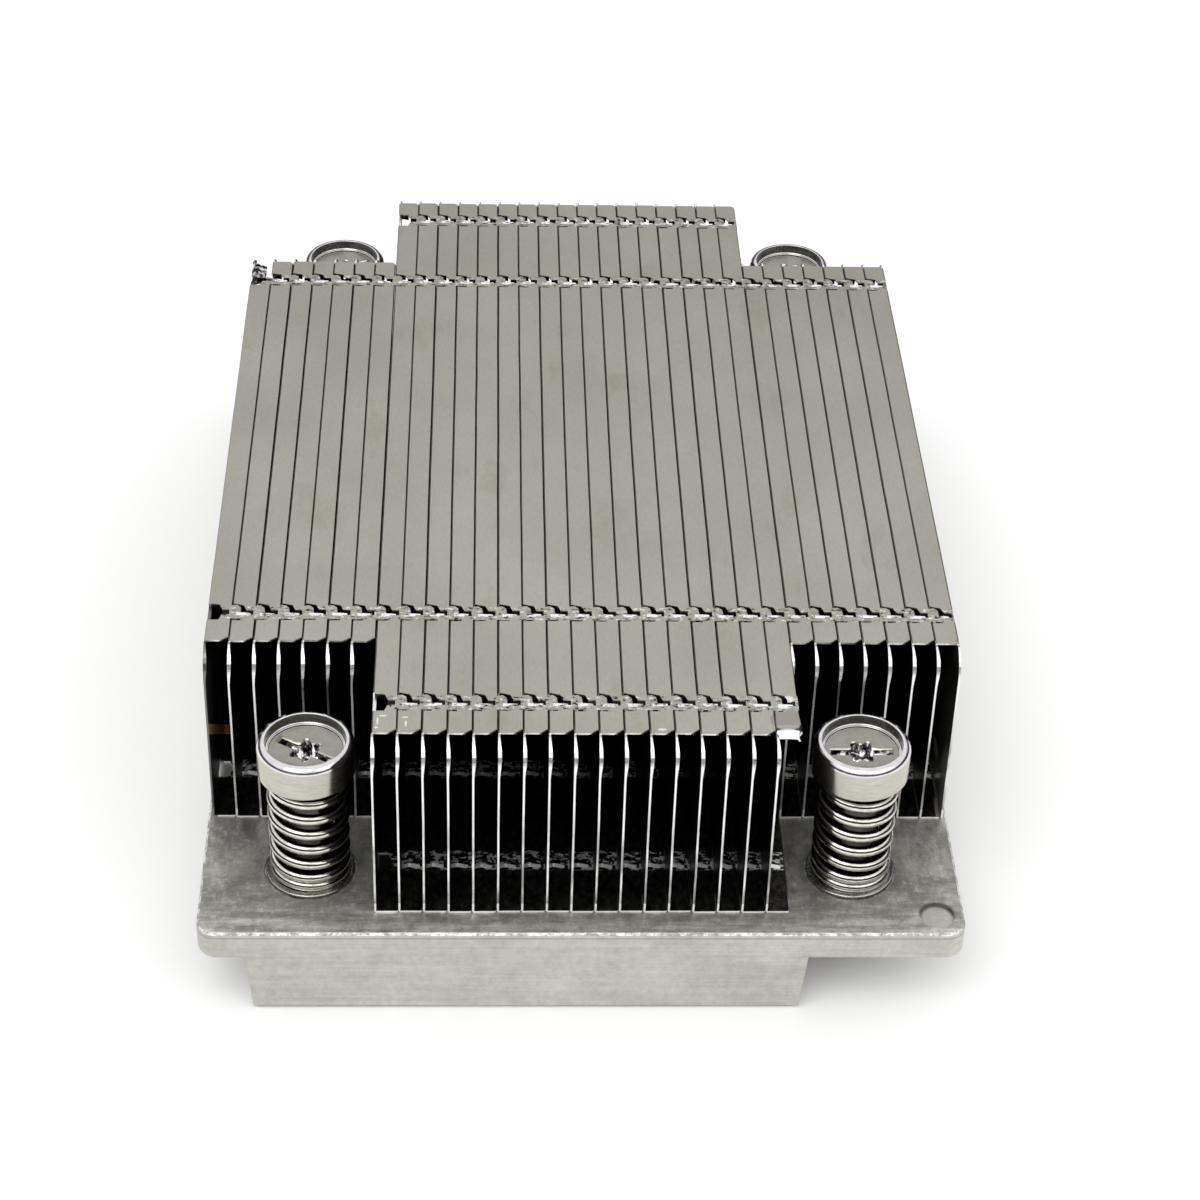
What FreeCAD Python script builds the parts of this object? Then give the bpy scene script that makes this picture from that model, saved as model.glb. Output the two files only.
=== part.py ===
import FreeCAD, Part
import os
import re

import Sketcher
from FreeCAD import Placement, Rotation, Vector

# A passive heatsink for a low server. A stack of folded sheet fins stands on an aluminium
# base, and four captive screws with springs pull it down onto a processor socket.
# Frame: origin in the middle of the screw pattern on the base's underside, +Z up,
# +Y along the fins and +X from one fin to the next.

doc = FreeCAD.newDocument("heatsink")

# ---------------------------------------------------------------- driving sizes (mm, degrees)

SIZES = {
    # Base: a plate with a lower block that meets the processor.
    "plate_side_margin": 0.45,
    "plate_end_margin": 9.8,
    "plate_thickness": 3.7,
    "plate_corner_radius": 2.0,
    "plate_under_round": 0.8,
    "plate_top_bevel": 0.25,
    "block_left_inset": 4.9,
    "block_clip_gap": 1.2,
    "block_height": 6.8,
    "block_draft": 5.3,
    "block_edge_bevel": 0.4,
    "pin_mark_diameter": 3.6,
    "pin_mark_depth": 0.3,
    "pin_mark_inset": 2.8,
    # Screw pattern and the seats round its holes.
    "screw_spacing_across": 56.0,
    "screw_spacing_along": 94.0,
    "screw_hole_clearance": 0.08,
    "seat_clearance": 0.2,
    "seat_depth": 0.2,
    "clip_pocket_gap": 0.8,
    # Fin stack: 31 fins, the outer seven on each side shorter.
    "fin_head_gap": 1.8,
    "fin_washer_gap": 2.4,
    "fin_height": 21.5,
    "fin_sheet": 0.3,
    "fin_bend_bevel": 0.2,
    "fin_seam": 0.18,
    "fin_corner_round": 2.4,
    "fin_tab_bevel": 0.7,
    "fin_end_inset": 2.2,
    "stack_offset": 1.0,
    # Interlock of one fin with the next: a keyhole window and a tongue that fills it.
    "lock_inset_front": 7.1,
    "lock_inset_back": 6.0,
    "window_width": 2.4,
    "window_reach": 1.2,
    "window_taper": 0.3,
    "window_depth": 0.6,
    "slot_width": 0.85,
    "slot_rim": 0.2,
    "tongue_clearance": 0.1,
    "tongue_reach": 1.15,
    "tongue_shoulder": 0.45,
    "tongue_tip_width": 0.7,
    # Captive screw, head upwards.
    "head_diameter": 9.9,
    "head_height": 3.9,
    "head_rim_round": 0.6,
    "head_under_bevel": 0.2,
    "cup_depth": 1.5,
    "cup_step_width": 0.4,
    "cup_step_height": 0.35,
    "driver_slot_width": 0.8,
    "driver_slot_length": 6.2,
    "driver_slot_depth": 0.7,
    "star_outer_radius": 1.6,
    "star_inner_radius": 1.15,
    "star_depth": 1.4,
    "shank_diameter": 5.0,
    "groove_diameter": 4.2,
    "thread_diameter": 4.0,
    "tip_bevel": 0.6,
    "tip_above_floor": 0.8,
    # Washer, spring and retaining clip on each screw.
    "washer_diameter": 9.2,
    "washer_thickness": 0.5,
    "washer_edge_bevel": 0.15,
    "washer_bore_clearance": 0.3,
    "spring_length": 13.17,
    "spring_shank_gap": 0.45,
    "spring_wire": 1.1,
    "spring_end_gap": 0.08,
    "spring_turns": 5.5,
    "spring_head_clearance": 0.03,
    "clip_diameter": 7.4,
    "clip_thickness": 0.6,
    "clip_clearance": 0.08,
    "clip_mouth": 3.2,
}

FIN_COUNT = 31
SIDE_FINS = 7

# Sizes that follow from the driving ones. The middle fins fill the width between the screw
# heads, the side fins stop short of the washers, and the plate carries them all.
FOLLOWING = {
    "fin_pitch": f"(screw_spacing_across - head_diameter - 2 * fin_head_gap) / {FIN_COUNT - 2 * SIDE_FINS}",
    "side_fin_length": "screw_spacing_along - washer_diameter - 2 * fin_washer_gap",
    "half_width": f"{FIN_COUNT} * fin_pitch / 2 + plate_side_margin",
    "half_length": "screw_spacing_along / 2 + plate_end_margin",
    "middle_fin_length": "2 * (half_length - fin_end_inset)",
    "base_top": "block_height + plate_thickness",
    "block_left": "block_left_inset - half_width",
    "block_right": "(screw_spacing_across - clip_diameter) / 2 - block_clip_gap",
    "seat_floor": "base_top - seat_depth",
    "washer_top": "seat_floor + washer_thickness",
    "spring_diameter": "shank_diameter + 2 * spring_shank_gap + 2 * spring_wire",
    "head_underside": "washer_top + spring_length + spring_head_clearance",
    "head_top": "head_underside + head_height",
    "clip_top": "block_height - clip_clearance",
    "clip_floor": "clip_top - clip_thickness",
    "tab_reach": "fin_pitch - fin_seam",
}

sizes = doc.addObject("Spreadsheet::Sheet", "sizes")
cells = {alias: str(value) for alias, value in SIZES.items()}
cells.update({alias: "=" + formula for alias, formula in FOLLOWING.items()})
for row, (alias, content) in enumerate(cells.items(), start=1):
    sizes.set(f"A{row}", alias)
    sizes.set(f"B{row}", content)
    sizes.setAlias(f"B{row}", alias)
doc.recompute()


def bound(formula):
    """A formula of size names, as the document's expressions want it."""
    return re.sub(r"[a-z_]+", lambda word: "sizes." + word[0] if word[0] in cells else word[0], formula)


def number(formula):
    """What a formula of size names comes to now."""
    result = sizes.evalExpression(bound(formula))
    return float(getattr(result, "Value", result))


# ---------------------------------------------------------------- sketches and features


def new_body(name):
    body = doc.addObject("PartDesign::Body", name)
    body.Label = name
    return body


def new_sketch(body, name, plane, height="0"):
    """A sketch on one of the body's own origin planes, lifted by a formula."""
    sketch = body.newObject("Sketcher::SketchObject", name)
    support = next(o for o in body.Origin.OriginFeatures if o.Role == plane)
    sketch.AttachmentSupport = [(support, "")]
    sketch.MapMode = "FlatFace"
    sketch.setExpression("AttachmentOffset.Base.z", bound(height) + " * 1 mm")
    return sketch


def bind(sketch, kind, *target, formula):
    index = sketch.addConstraint(Sketcher.Constraint(kind, *target, number(formula)))
    sketch.setExpression(f"Constraints[{index}]", bound(formula))


def outline(sketch, corners, arcs=None):
    """A closed outline. Each corner is a pair of formulas, and arcs gives the radius and
    the centre of a side that is round, by the number of the corner where it starts."""
    arcs = arcs or {}
    first = sketch.GeometryCount
    points = [Vector(number(x), number(y), 0) for x, y in corners]
    for i, start in enumerate(points):
        end = points[(i + 1) % len(points)]
        if i in arcs:
            radius, centre_x, centre_y = arcs[i]
            centre = Vector(number(centre_x), number(centre_y), 0)
            middle = centre + ((start + end) * 0.5 - centre).normalize() * number(radius)
            sketch.addGeometry(Part.Arc(start, middle, end), False)
        else:
            sketch.addGeometry(Part.LineSegment(start, end), False)
    turned = {i for i in arcs if (sketch.getPoint(first + i, 1) - points[i]).Length > 1e-6}
    for i, (x, y) in enumerate(corners):
        before = (i - 1) % len(corners)
        begins = 2 if i in turned else 1
        ends = 1 if before in turned else 2
        joint = ("Coincident", first + before, ends, first + i, begins)
        sketch.addConstraint(Sketcher.Constraint(*joint))
        bind(sketch, "DistanceX", -1, 1, first + i, begins, formula=x)
        bind(sketch, "DistanceY", -1, 1, first + i, begins, formula=y)
    for i, (radius, _, _) in arcs.items():
        bind(sketch, "Radius", first + i, formula=radius)


def rectangle(sketch, left, right, low, high):
    outline(sketch, [(left, low), (right, low), (right, high), (left, high)])


def circle(sketch, x, y, diameter):
    centre = Vector(number(x), number(y), 0)
    index = sketch.addGeometry(Part.Circle(centre, Vector(0, 0, 1), number(diameter) / 2), False)
    bind(sketch, "DistanceX", -1, 1, index, 3, formula=x)
    bind(sketch, "DistanceY", -1, 1, index, 3, formula=y)
    bind(sketch, "Diameter", index, formula=diameter)


def pad(body, sketch, length, midplane=False, against_normal=False):
    feature = body.newObject("PartDesign::Pad", sketch.Name + "_pad")
    feature.Profile = sketch
    feature.setExpression("Length", bound(length))
    feature.Midplane = midplane
    feature.Reversed = against_normal
    doc.recompute()
    return feature


def pocket(body, sketch, depth=None, along_normal=False):
    """Cut a sketch out of the body, against the sketch's normal unless told otherwise, and
    make sure that it cut. With no depth it goes right through."""
    before = body.Shape.Volume
    feature = body.newObject("PartDesign::Pocket", sketch.Name + "_pocket")
    feature.Profile = sketch
    feature.Reversed = along_normal
    if depth is None:
        feature.Type = "ThroughAll"
    else:
        feature.setExpression("Length", bound(depth))
    doc.recompute()
    if body.Shape.Volume >= before:
        raise RuntimeError(f"{feature.Name} cuts nothing")
    return feature


def edges_where(shape, test, along=None):
    """Names of the edges whose end points pass a test and that run along a direction."""
    names = []
    for i, edge in enumerate(shape.Edges, start=1):
        ends = [vertex.Point for vertex in edge.Vertexes]
        runs = along is None or (ends[-1] - ends[0]).cross(along).Length < 1e-4 < (ends[-1] - ends[0]).Length
        if runs and all(test(point) for point in ends):
            names.append(f"Edge{i}")
    return names


def near(a, b):
    return abs(a - b) < 1e-4


def dress(body, kind, size_name, edges, size):
    solid = body.Tip
    feature = body.newObject(f"PartDesign::{kind}", f"{body.Name}_{kind.lower()}_{len(body.Group)}")
    feature.Base = (solid, edges)
    feature.setExpression(size_name, bound(size))
    doc.recompute()
    return feature


def fillet(body, edges, radius):
    return dress(body, "Fillet", "Radius", edges, radius)


def chamfer(body, edges, size):
    return dress(body, "Chamfer", "Size", edges, size)


# ---------------------------------------------------------------- screw places

# Where each screw stands, as the signs of its x and y.
SCREWS = {
    "front_left": (-1, -1),
    "front_right": (1, -1),
    "rear_left": (-1, 1),
    "rear_right": (1, 1),
}

# How far each driver slot is turned from +X, and where each spring's lower end starts.
DRIVER_TURN = {"front_left": -31.0, "front_right": 0.0, "rear_left": 24.0, "rear_right": -12.0}
SPRING_TURN = {"front_left": 95.0, "front_right": -70.0, "rear_left": 150.0, "rear_right": 20.0}


def screw_place(side, end):
    return f"({side} * screw_spacing_across / 2)", f"({end} * screw_spacing_along / 2)"


# ---------------------------------------------------------------- base


def make_base():
    base = new_body("base")
    plate = new_sketch(base, "plate_outline", "XY_Plane", "block_height")
    rectangle(plate, "-half_width", "half_width", "-half_length", "half_length")
    pad(base, plate, "plate_thickness")

    fillet(base, edges_where(base.Shape, lambda p: True, along=Vector(0, 0, 1)), "plate_corner_radius")
    under = number("block_height")
    fillet(base, edges_where(base.Shape, lambda p: near(p.z, under)), "plate_under_round")
    top = number("base_top")
    chamfer(base, edges_where(base.Shape, lambda p: near(p.z, top)), "plate_top_bevel")

    # The lower block runs the whole length and narrows downwards. It reaches up into the
    # plate past the rounding, so that its ends stay flush with the plate's.
    block = new_sketch(base, "block_section", "XZ_Plane")
    rise = "(block_height + plate_under_round)"
    narrow = "block_height * tan(block_draft)"
    widen = "plate_under_round * tan(block_draft)"
    outline(block, [
        (f"block_left + {narrow}", "0"),
        (f"block_right - {narrow}", "0"),
        (f"block_right + {widen}", rise),
        (f"block_left - {widen}", rise),
    ])
    pad(base, block, "2 * half_length", midplane=True)
    chamfer(base, edges_where(base.Shape, lambda p: near(p.z, 0)), "block_edge_bevel")

    for name, diameter, height, depth in [
        ("washer_seats", "washer_diameter + 2 * seat_clearance", "base_top", "seat_depth"),
        ("screw_holes", "shank_diameter + 2 * screw_hole_clearance", "base_top", None),
    ]:
        rings = new_sketch(base, name, "XY_Plane", height)
        for side, end in SCREWS.values():
            circle(rings, *screw_place(side, end), diameter)
        pocket(base, rings, depth)

    # The two left screws pass through the lower block, where pockets give their clips room.
    rooms = new_sketch(base, "clip_pockets", "XY_Plane")
    for side, end in SCREWS.values():
        if side < 0:
            circle(rooms, *screw_place(side, end), "clip_diameter + 2 * clip_pocket_gap")
    pocket(base, rooms, "block_height", along_normal=True)

    mark = new_sketch(base, "pin_mark", "XY_Plane", "base_top")
    circle(mark, "half_width - pin_mark_inset", "pin_mark_inset - half_length", "pin_mark_diameter")
    pocket(base, mark, "pin_mark_depth")
    return base


# ---------------------------------------------------------------- fins

# Each fin is one folded sheet. In its own frame the outer face of the sheet is at x = 0, the
# flanges reach towards +X to the next fin, y = 0 is the middle and z = 0 the base's top.


def lock_rows(length):
    """The y of the interlocks that a fin of this length has near its two ends."""
    return [f"(lock_inset_front - {length} / 2)", f"({length} / 2 - lock_inset_back)"]


def keyhole(sketch, row):
    """The window that the neighbour's tongue fills, and the slot that runs on from it."""
    slot_start = "(window_reach + window_taper)"
    slot_end = "(tab_reach - slot_rim)"
    outline(sketch, [
        ("-fin_sheet", f"{row} - window_width / 2"),
        ("window_reach", f"{row} - window_width / 2"),
        (slot_start, f"{row} - slot_width / 2"),
        (slot_end, f"{row} - slot_width / 2"),
        (slot_end, f"{row} + slot_width / 2"),
        (slot_start, f"{row} + slot_width / 2"),
        ("window_reach", f"{row} + window_width / 2"),
        ("-fin_sheet", f"{row} + window_width / 2"),
    ])


def tongue(sketch, row):
    """The tongue on a flange's free edge, which reaches into the next fin's window."""
    root = "(window_width / 2 - tongue_clearance)"
    outline(sketch, [
        ("tab_reach", f"{row} - {root}"),
        ("fin_pitch + tongue_shoulder", f"{row} - {root}"),
        ("fin_pitch + tongue_reach", f"{row} - tongue_tip_width / 2"),
        ("fin_pitch + tongue_reach", f"{row} + tongue_tip_width / 2"),
        ("fin_pitch + tongue_shoulder", f"{row} + {root}"),
        ("tab_reach", f"{row} + {root}"),
    ])


def make_fin(name, length, rows, closing=False):
    """One folded fin with its interlocks. The closing fin has no tongues: its top flange
    folds down again and ends the stack."""
    fin = new_body(name)
    far_face = "(fin_pitch - fin_sheet)" if closing else "tab_reach"
    low_reach = f"({far_face} - fin_seam)" if closing else "tab_reach"
    section = new_sketch(fin, name + "_section", "XZ_Plane")
    corners = [
        ("0", "0"),
        (low_reach, "0"),
        (low_reach, "fin_sheet"),
        ("fin_sheet", "fin_sheet"),
        ("fin_sheet", "fin_height - fin_sheet"),
        (far_face, "fin_height - fin_sheet"),
    ]
    if closing:
        corners += [(far_face, "0"), ("fin_pitch", "0"), ("fin_pitch", "fin_height")]
    else:
        corners += [(far_face, "fin_height")]
    outline(section, corners + [("0", "fin_height")])
    pad(fin, section, length, midplane=True)

    sheet = number("fin_sheet")
    height = number("fin_height")
    bends = [(0, 0), (0, height)] + ([(number("fin_pitch"), height)] if closing else [])
    at_bend = lambda p: any(near(p.x, x) and near(p.z, z) for x, z in bends)
    chamfer(fin, edges_where(fin.Shape, at_bend, along=Vector(0, 1, 0)), "fin_bend_bevel")

    # The top flange stops short of the sheet's ends, whose upper corners are round.
    flat_half = f"({length} / 2 - fin_corner_round)"
    short = new_sketch(fin, name + "_tab_ends", "XY_Plane", "fin_height")
    rounds = new_sketch(fin, name + "_corners", "YZ_Plane")
    for end in (-1, 1):
        near_side, far_side = f"{end} * {flat_half}", f"{end} * ({length} / 2 + fin_sheet)"
        edge = "fin_pitch - fin_sheet" if closing else "fin_pitch"
        rectangle(short, "fin_sheet", edge, near_side, far_side)
        outline(rounds, [
            (near_side, "fin_height"),
            (f"{end} * {length} / 2", "fin_height - fin_corner_round"),
            (far_side, "fin_height - fin_corner_round"),
            (far_side, "fin_height + fin_sheet"),
            (near_side, "fin_height + fin_sheet"),
        ], {0: ("fin_corner_round", near_side, "fin_height - fin_corner_round")})
    pocket(fin, short, "fin_sheet")
    pocket(fin, rounds, along_normal=True)

    reach = number(low_reach)
    free_corner = lambda p: near(p.x, reach) and (p.z < 2 * sheet or p.z > height - 2 * sheet)
    chamfer(fin, edges_where(fin.Shape, free_corner, along=Vector(0, 0, 1)), "fin_tab_bevel")

    for level, level_height in [("top", "fin_height"), ("foot", "0")]:
        upper = level == "top"
        holes = new_sketch(fin, f"{name}_{level}_windows", "XY_Plane", level_height)
        for row in rows:
            keyhole(holes, row)
        pocket(fin, holes, "window_depth", along_normal=not upper)
        if not closing:
            tips = new_sketch(fin, f"{name}_{level}_tongues", "XY_Plane", level_height)
            for row in rows:
                tongue(tips, row)
            pad(fin, tips, "fin_sheet", against_normal=upper)
    return fin


def place_fins():
    """The stack from left to right. A pattern would keep its copies in one body, and each fin
    is a sheet of its own, so every fin is a copy of one of three folded fins."""
    side_rows = lock_rows("side_fin_length")
    side = make_fin("side_fin", "side_fin_length", side_rows)
    middle = make_fin("middle_fin", "middle_fin_length", side_rows + lock_rows("middle_fin_length"))
    closing = make_fin("closing_fin", "side_fin_length", side_rows, closing=True)
    fins = []
    for i in range(FIN_COUNT):
        if i == FIN_COUNT - 1:
            folded = closing
        elif SIDE_FINS <= i < FIN_COUNT - SIDE_FINS:
            folded = middle
        else:
            folded = side
        fin = doc.addObject("Part::Feature", f"fin_{i + 1:02d}")
        fin.Shape = folded.Shape.copy()
        fin.setExpression("Placement.Base.x", bound(f"({i} - {FIN_COUNT} / 2) * fin_pitch") + " * 1 mm")
        fin.setExpression("Placement.Base.y", bound("stack_offset") + " * 1 mm")
        fin.setExpression("Placement.Base.z", bound("base_top") + " * 1 mm")
        fins.append(fin)
    return fins


# ---------------------------------------------------------------- screws and what they carry


def stand_at(piece, corner, turn=0.0):
    """Put a piece over its screw hole, turned about the screw's own axis."""
    x, y = screw_place(*SCREWS[corner])
    piece.Placement = Placement(Vector(0, 0, 0), Rotation(Vector(0, 0, 1), turn))
    piece.setExpression("Placement.Base.x", bound(x) + " * 1 mm")
    piece.setExpression("Placement.Base.y", bound(y) + " * 1 mm")


def at_circle(radius, height):
    """A test for the end point of a round edge of this radius at this height."""
    r, z = number(radius), number(height)
    return lambda p: near(p.z, z) and near((p.x**2 + p.y**2) ** 0.5, r)


def make_screw(corner):
    screw = new_body(f"{corner}_screw")
    groove_high = "clip_top + clip_clearance"
    groove_low = "clip_floor - clip_clearance"
    collar_low = "clip_floor - clip_clearance - clip_thickness"
    rim = "(head_diameter / 2 - head_rim_round)"
    rim_low = "(head_top - head_rim_round)"
    ledge = "(head_top - cup_depth)"
    floor = f"({ledge} - cup_step_height)"
    profile = new_sketch(screw, f"{corner}_screw_profile", "XZ_Plane")
    outline(profile, [
        ("0", "tip_above_floor"),
        ("thread_diameter / 2", "tip_above_floor"),
        ("thread_diameter / 2", collar_low),
        ("shank_diameter / 2", collar_low),
        ("shank_diameter / 2", groove_low),
        ("groove_diameter / 2", groove_low),
        ("groove_diameter / 2", groove_high),
        ("shank_diameter / 2", groove_high),
        ("shank_diameter / 2", "head_underside"),
        ("head_diameter / 2", "head_underside"),
        ("head_diameter / 2", rim_low),
        (rim, "head_top"),
        (rim, ledge),
        (f"{rim} - cup_step_width", ledge),
        (f"{rim} - cup_step_width", floor),
        ("0", floor),
    ], {10: ("head_rim_round", rim, rim_low)})
    turned = screw.newObject("PartDesign::Revolution", f"{corner}_screw_turned")
    turned.Profile = profile
    turned.ReferenceAxis = (profile, ["V_Axis"])
    turned.Angle = 360
    doc.recompute()
    for rim_edge, bevel in [
        (at_circle("head_diameter / 2", "head_underside"), "head_under_bevel"),
        (at_circle("thread_diameter / 2", "tip_above_floor"), "tip_bevel"),
    ]:
        chamfer(screw, edges_where(screw.Shape, rim_edge), bevel)

    slot = new_sketch(screw, f"{corner}_driver_slot", "XY_Plane", floor)
    end, side = "driver_slot_length / 2", "driver_slot_width / 2"
    rectangle(slot, "-" + end, end, "-" + side, side)
    pocket(screw, slot, "driver_slot_depth")
    star = new_sketch(screw, f"{corner}_driver_star", "XY_Plane", floor)
    points = []
    for i in range(12):
        radius = "star_outer_radius" if i % 2 == 0 else "star_inner_radius"
        points.append((f"{radius} * cos({30 * i})", f"{radius} * sin({30 * i})"))
    outline(star, points)
    pocket(screw, star, "star_depth")
    stand_at(screw, corner, DRIVER_TURN[corner])
    return screw


def make_ring(name, outer, inner, low, thickness):
    ring = new_body(name)
    rings = new_sketch(ring, name + "_rings", "XY_Plane", low)
    circle(rings, "0", "0", outer)
    circle(rings, "0", "0", inner)
    pad(ring, rings, thickness)
    return ring


def make_washer(corner):
    bore = "(shank_diameter + 2 * washer_bore_clearance)"
    washer = make_ring(f"{corner}_washer", "washer_diameter", bore, "seat_floor", "washer_thickness")
    chamfer(washer, edges_where(washer.Shape, at_circle("washer_diameter / 2", "washer_top")), "washer_edge_bevel")
    stand_at(washer, corner)
    return washer


def make_clip(corner):
    """A flat spring clip that snaps into the screw's groove from one side."""
    bore = "(groove_diameter + 2 * clip_clearance)"
    clip = make_ring(f"{corner}_clip", "clip_diameter", bore, "clip_floor", "clip_thickness")
    mouth = new_sketch(clip, f"{corner}_clip_mouth", "XY_Plane", "clip_top")
    rectangle(mouth, "-clip_mouth / 2", "clip_mouth / 2", "-clip_diameter", "0")
    pocket(clip, mouth)
    stand_at(clip, corner)
    return clip


def make_spring(corner):
    """A left-handed compression spring with closed, ground ends, between washer and head."""
    wire = number("spring_wire")
    radius = number("(spring_diameter - spring_wire) / 2")
    turns = number("spring_turns")
    length = number("spring_length")
    end_pitch = wire + number("spring_end_gap")
    open_pitch = (length - 2 * end_pitch) / turns
    edges = []
    height = 0.0
    turned = 0.0
    for pitch, count in [(end_pitch, 1.0), (open_pitch, turns), (end_pitch, 1.0)]:
        coil = Part.makeHelix(pitch, pitch * count, radius, 0, True)
        coil.rotate(Vector(0, 0, 0), Vector(0, 0, 1), turned)
        coil.translate(Vector(0, 0, height))
        edges += coil.Edges
        height += pitch * count
        turned -= 360 * count
    # Six flats stand for the round wire and keep the coils light.
    along_wire = edges[0].tangentAt(edges[0].FirstParameter)
    corners = []
    for i in range(7):
        corner_turn = Rotation(along_wire, 60 * i)
        corners.append(Vector(radius, 0, 0) + corner_turn.multVec(Vector(wire / 2, 0, 0)))
    coils = Part.Wire(edges).makePipeShell([Part.makePolygon(corners)], True, True)
    # Grinding leaves each end flat, half a wire deep.
    ground = Part.makeBox(4 * radius, 4 * radius, length, Vector(-2 * radius, -2 * radius, 0))
    spring = doc.addObject("Part::Feature", f"{corner}_spring")
    spring.Shape = coils.common(ground).Solids[0]
    stand_at(spring, corner, SPRING_TURN[corner])
    spring.setExpression("Placement.Base.z", bound("washer_top") + " * 1 mm")
    return spring


# ---------------------------------------------------------------- the whole heatsink

pieces = [make_base()] + place_fins()
for corner in SCREWS:
    pieces += [make_washer(corner), make_spring(corner), make_screw(corner), make_clip(corner)]
doc.recompute()

for thing in doc.Objects:
    if "Invalid" in thing.State or "Error" in thing.State:
        raise RuntimeError(f"{thing.Name} failed: {thing.State}")
for piece in pieces:
    if piece.Shape.isNull() or not piece.Shape.isValid() or len(piece.Shape.Solids) != 1:
        raise RuntimeError(f"{piece.Name} isn't one valid solid")

os.makedirs("parts", exist_ok=True)
for piece in pieces:
    piece.Shape.exportStep(f"parts/{piece.Label}.step")
print(len(pieces), "pieces, base", round(pieces[0].Shape.Volume), "mm3")
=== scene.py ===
# %% [markdown]
# # A passive server heatsink
# A stack of folded sheet fins stands on a metal base, and four spring-loaded captive screws
# hold it down on a processor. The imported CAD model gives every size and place. Here we dress
# it: rounded folds, coiled springs, turned screw heads, and worn nickel plating.

# %% Load the frame
import math

import bmesh
import bpy
from mathutils import Matrix, Vector


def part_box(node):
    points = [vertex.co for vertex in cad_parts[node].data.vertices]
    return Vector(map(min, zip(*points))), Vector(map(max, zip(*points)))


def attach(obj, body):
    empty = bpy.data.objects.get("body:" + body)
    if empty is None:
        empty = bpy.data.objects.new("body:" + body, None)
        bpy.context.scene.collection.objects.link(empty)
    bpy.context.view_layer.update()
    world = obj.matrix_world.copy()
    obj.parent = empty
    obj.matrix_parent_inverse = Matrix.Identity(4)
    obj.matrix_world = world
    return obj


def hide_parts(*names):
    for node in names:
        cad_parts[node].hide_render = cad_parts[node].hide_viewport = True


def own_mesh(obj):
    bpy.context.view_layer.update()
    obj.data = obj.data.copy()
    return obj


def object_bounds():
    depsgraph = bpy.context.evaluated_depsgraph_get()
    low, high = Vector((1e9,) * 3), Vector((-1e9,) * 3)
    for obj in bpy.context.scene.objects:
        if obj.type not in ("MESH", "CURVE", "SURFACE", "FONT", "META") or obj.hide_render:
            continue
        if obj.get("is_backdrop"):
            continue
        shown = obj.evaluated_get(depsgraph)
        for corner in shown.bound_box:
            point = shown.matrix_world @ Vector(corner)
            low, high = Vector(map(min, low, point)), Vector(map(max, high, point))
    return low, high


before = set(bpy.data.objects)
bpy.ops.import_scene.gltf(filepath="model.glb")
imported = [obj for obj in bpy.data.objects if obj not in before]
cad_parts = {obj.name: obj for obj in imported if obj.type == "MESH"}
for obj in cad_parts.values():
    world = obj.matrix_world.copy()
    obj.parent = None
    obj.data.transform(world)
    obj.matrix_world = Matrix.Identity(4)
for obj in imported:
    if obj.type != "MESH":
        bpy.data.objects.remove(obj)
cad_box = [list(corner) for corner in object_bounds()]
MM = 0.001
CORNERS = ["front_left", "front_right", "rear_left", "rear_right"]
FINS = [f"fin_{i:02d}" for i in range(1, 32)]

# %% [markdown]
# ## Camera
# A long lens looks down at the part from a little left of its middle. The camera's direction
# comes from three angles, and its roll turns it about the line of sight.

# %% Place the camera
PITCH, YAW, ROLL = math.radians(37.24), math.radians(2.78), math.radians(-1.96)
CAMERA_PLACE = Vector((-9.93, -272.48, 217.2)) * MM
FOCAL_IN_FRAMES = 2931.19 / 1200


def aim(pitch, yaw, roll):
    """The camera's axes as a rotation: right, up and backwards."""
    forward = Vector((math.sin(yaw) * math.cos(pitch), math.cos(yaw) * math.cos(pitch), -math.sin(pitch)))
    level = Vector((math.cos(yaw), -math.sin(yaw), 0))
    down = forward.cross(level)
    right = math.cos(roll) * level + math.sin(roll) * down
    up = math.sin(roll) * level - math.cos(roll) * down
    return Matrix((right, up, -forward)).transposed()


lens = bpy.data.cameras.new("camera")
lens.sensor_width = 36
lens.lens = FOCAL_IN_FRAMES * lens.sensor_width
lens.clip_start = 0.01
camera = bpy.data.objects.new("camera", lens)
camera.matrix_world = Matrix.Translation(CAMERA_PLACE) @ aim(PITCH, YAW, ROLL).to_4x4()
bpy.context.scene.collection.objects.link(camera)
bpy.context.scene.camera = camera
print("lens", round(lens.lens, 1), "mm")

# %% [markdown]
# ## Shader helpers
# Each finish is a small node tree. These helpers add a node, set its inputs and wire it, so
# that a material below reads as a list of what the metal looks like.


# %% Shader helpers
def put(tree, kind, inputs=None, **settings):
    """Add a node, set its options, and give each input a value or wire a socket to it."""
    node = tree.nodes.new(kind)
    for name, value in settings.items():
        setattr(node, name, value)
    for key, value in (inputs or {}).items():
        if isinstance(value, bpy.types.NodeSocket):
            tree.links.new(value, node.inputs[key])
        else:
            node.inputs[key].default_value = value
    return node


def metal(name, **constants):
    """A material with one bare metal shader. Values that are the same all over are set here."""
    material = bpy.data.materials.new(name)
    material.use_nodes = True
    shader = material.node_tree.nodes["Principled BSDF"]
    shader.inputs["Metallic"].default_value = 1
    for key, value in constants.items():
        shader.inputs[key.replace("_", " ")].default_value = value
    return material, material.node_tree, shader


def stretched(tree, scale):
    """Object coordinates, in millimetres, stretched by a scale for each axis."""
    place = put(tree, "ShaderNodeTexCoord").outputs["Object"]
    millimetres = [s / MM for s in scale]
    return put(tree, "ShaderNodeMapping", {"Vector": place, "Scale": millimetres}).outputs["Vector"]


def speckle(tree, scale, detail=4.0, roughness=0.6):
    """Noise whose grains are 1 / scale millimetres wide along each axis."""
    node = put(
        tree, "ShaderNodeTexNoise",
        {"Vector": stretched(tree, scale), "Scale": 1, "Detail": detail, "Roughness": roughness},
    )
    return node.outputs["Fac"]


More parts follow.
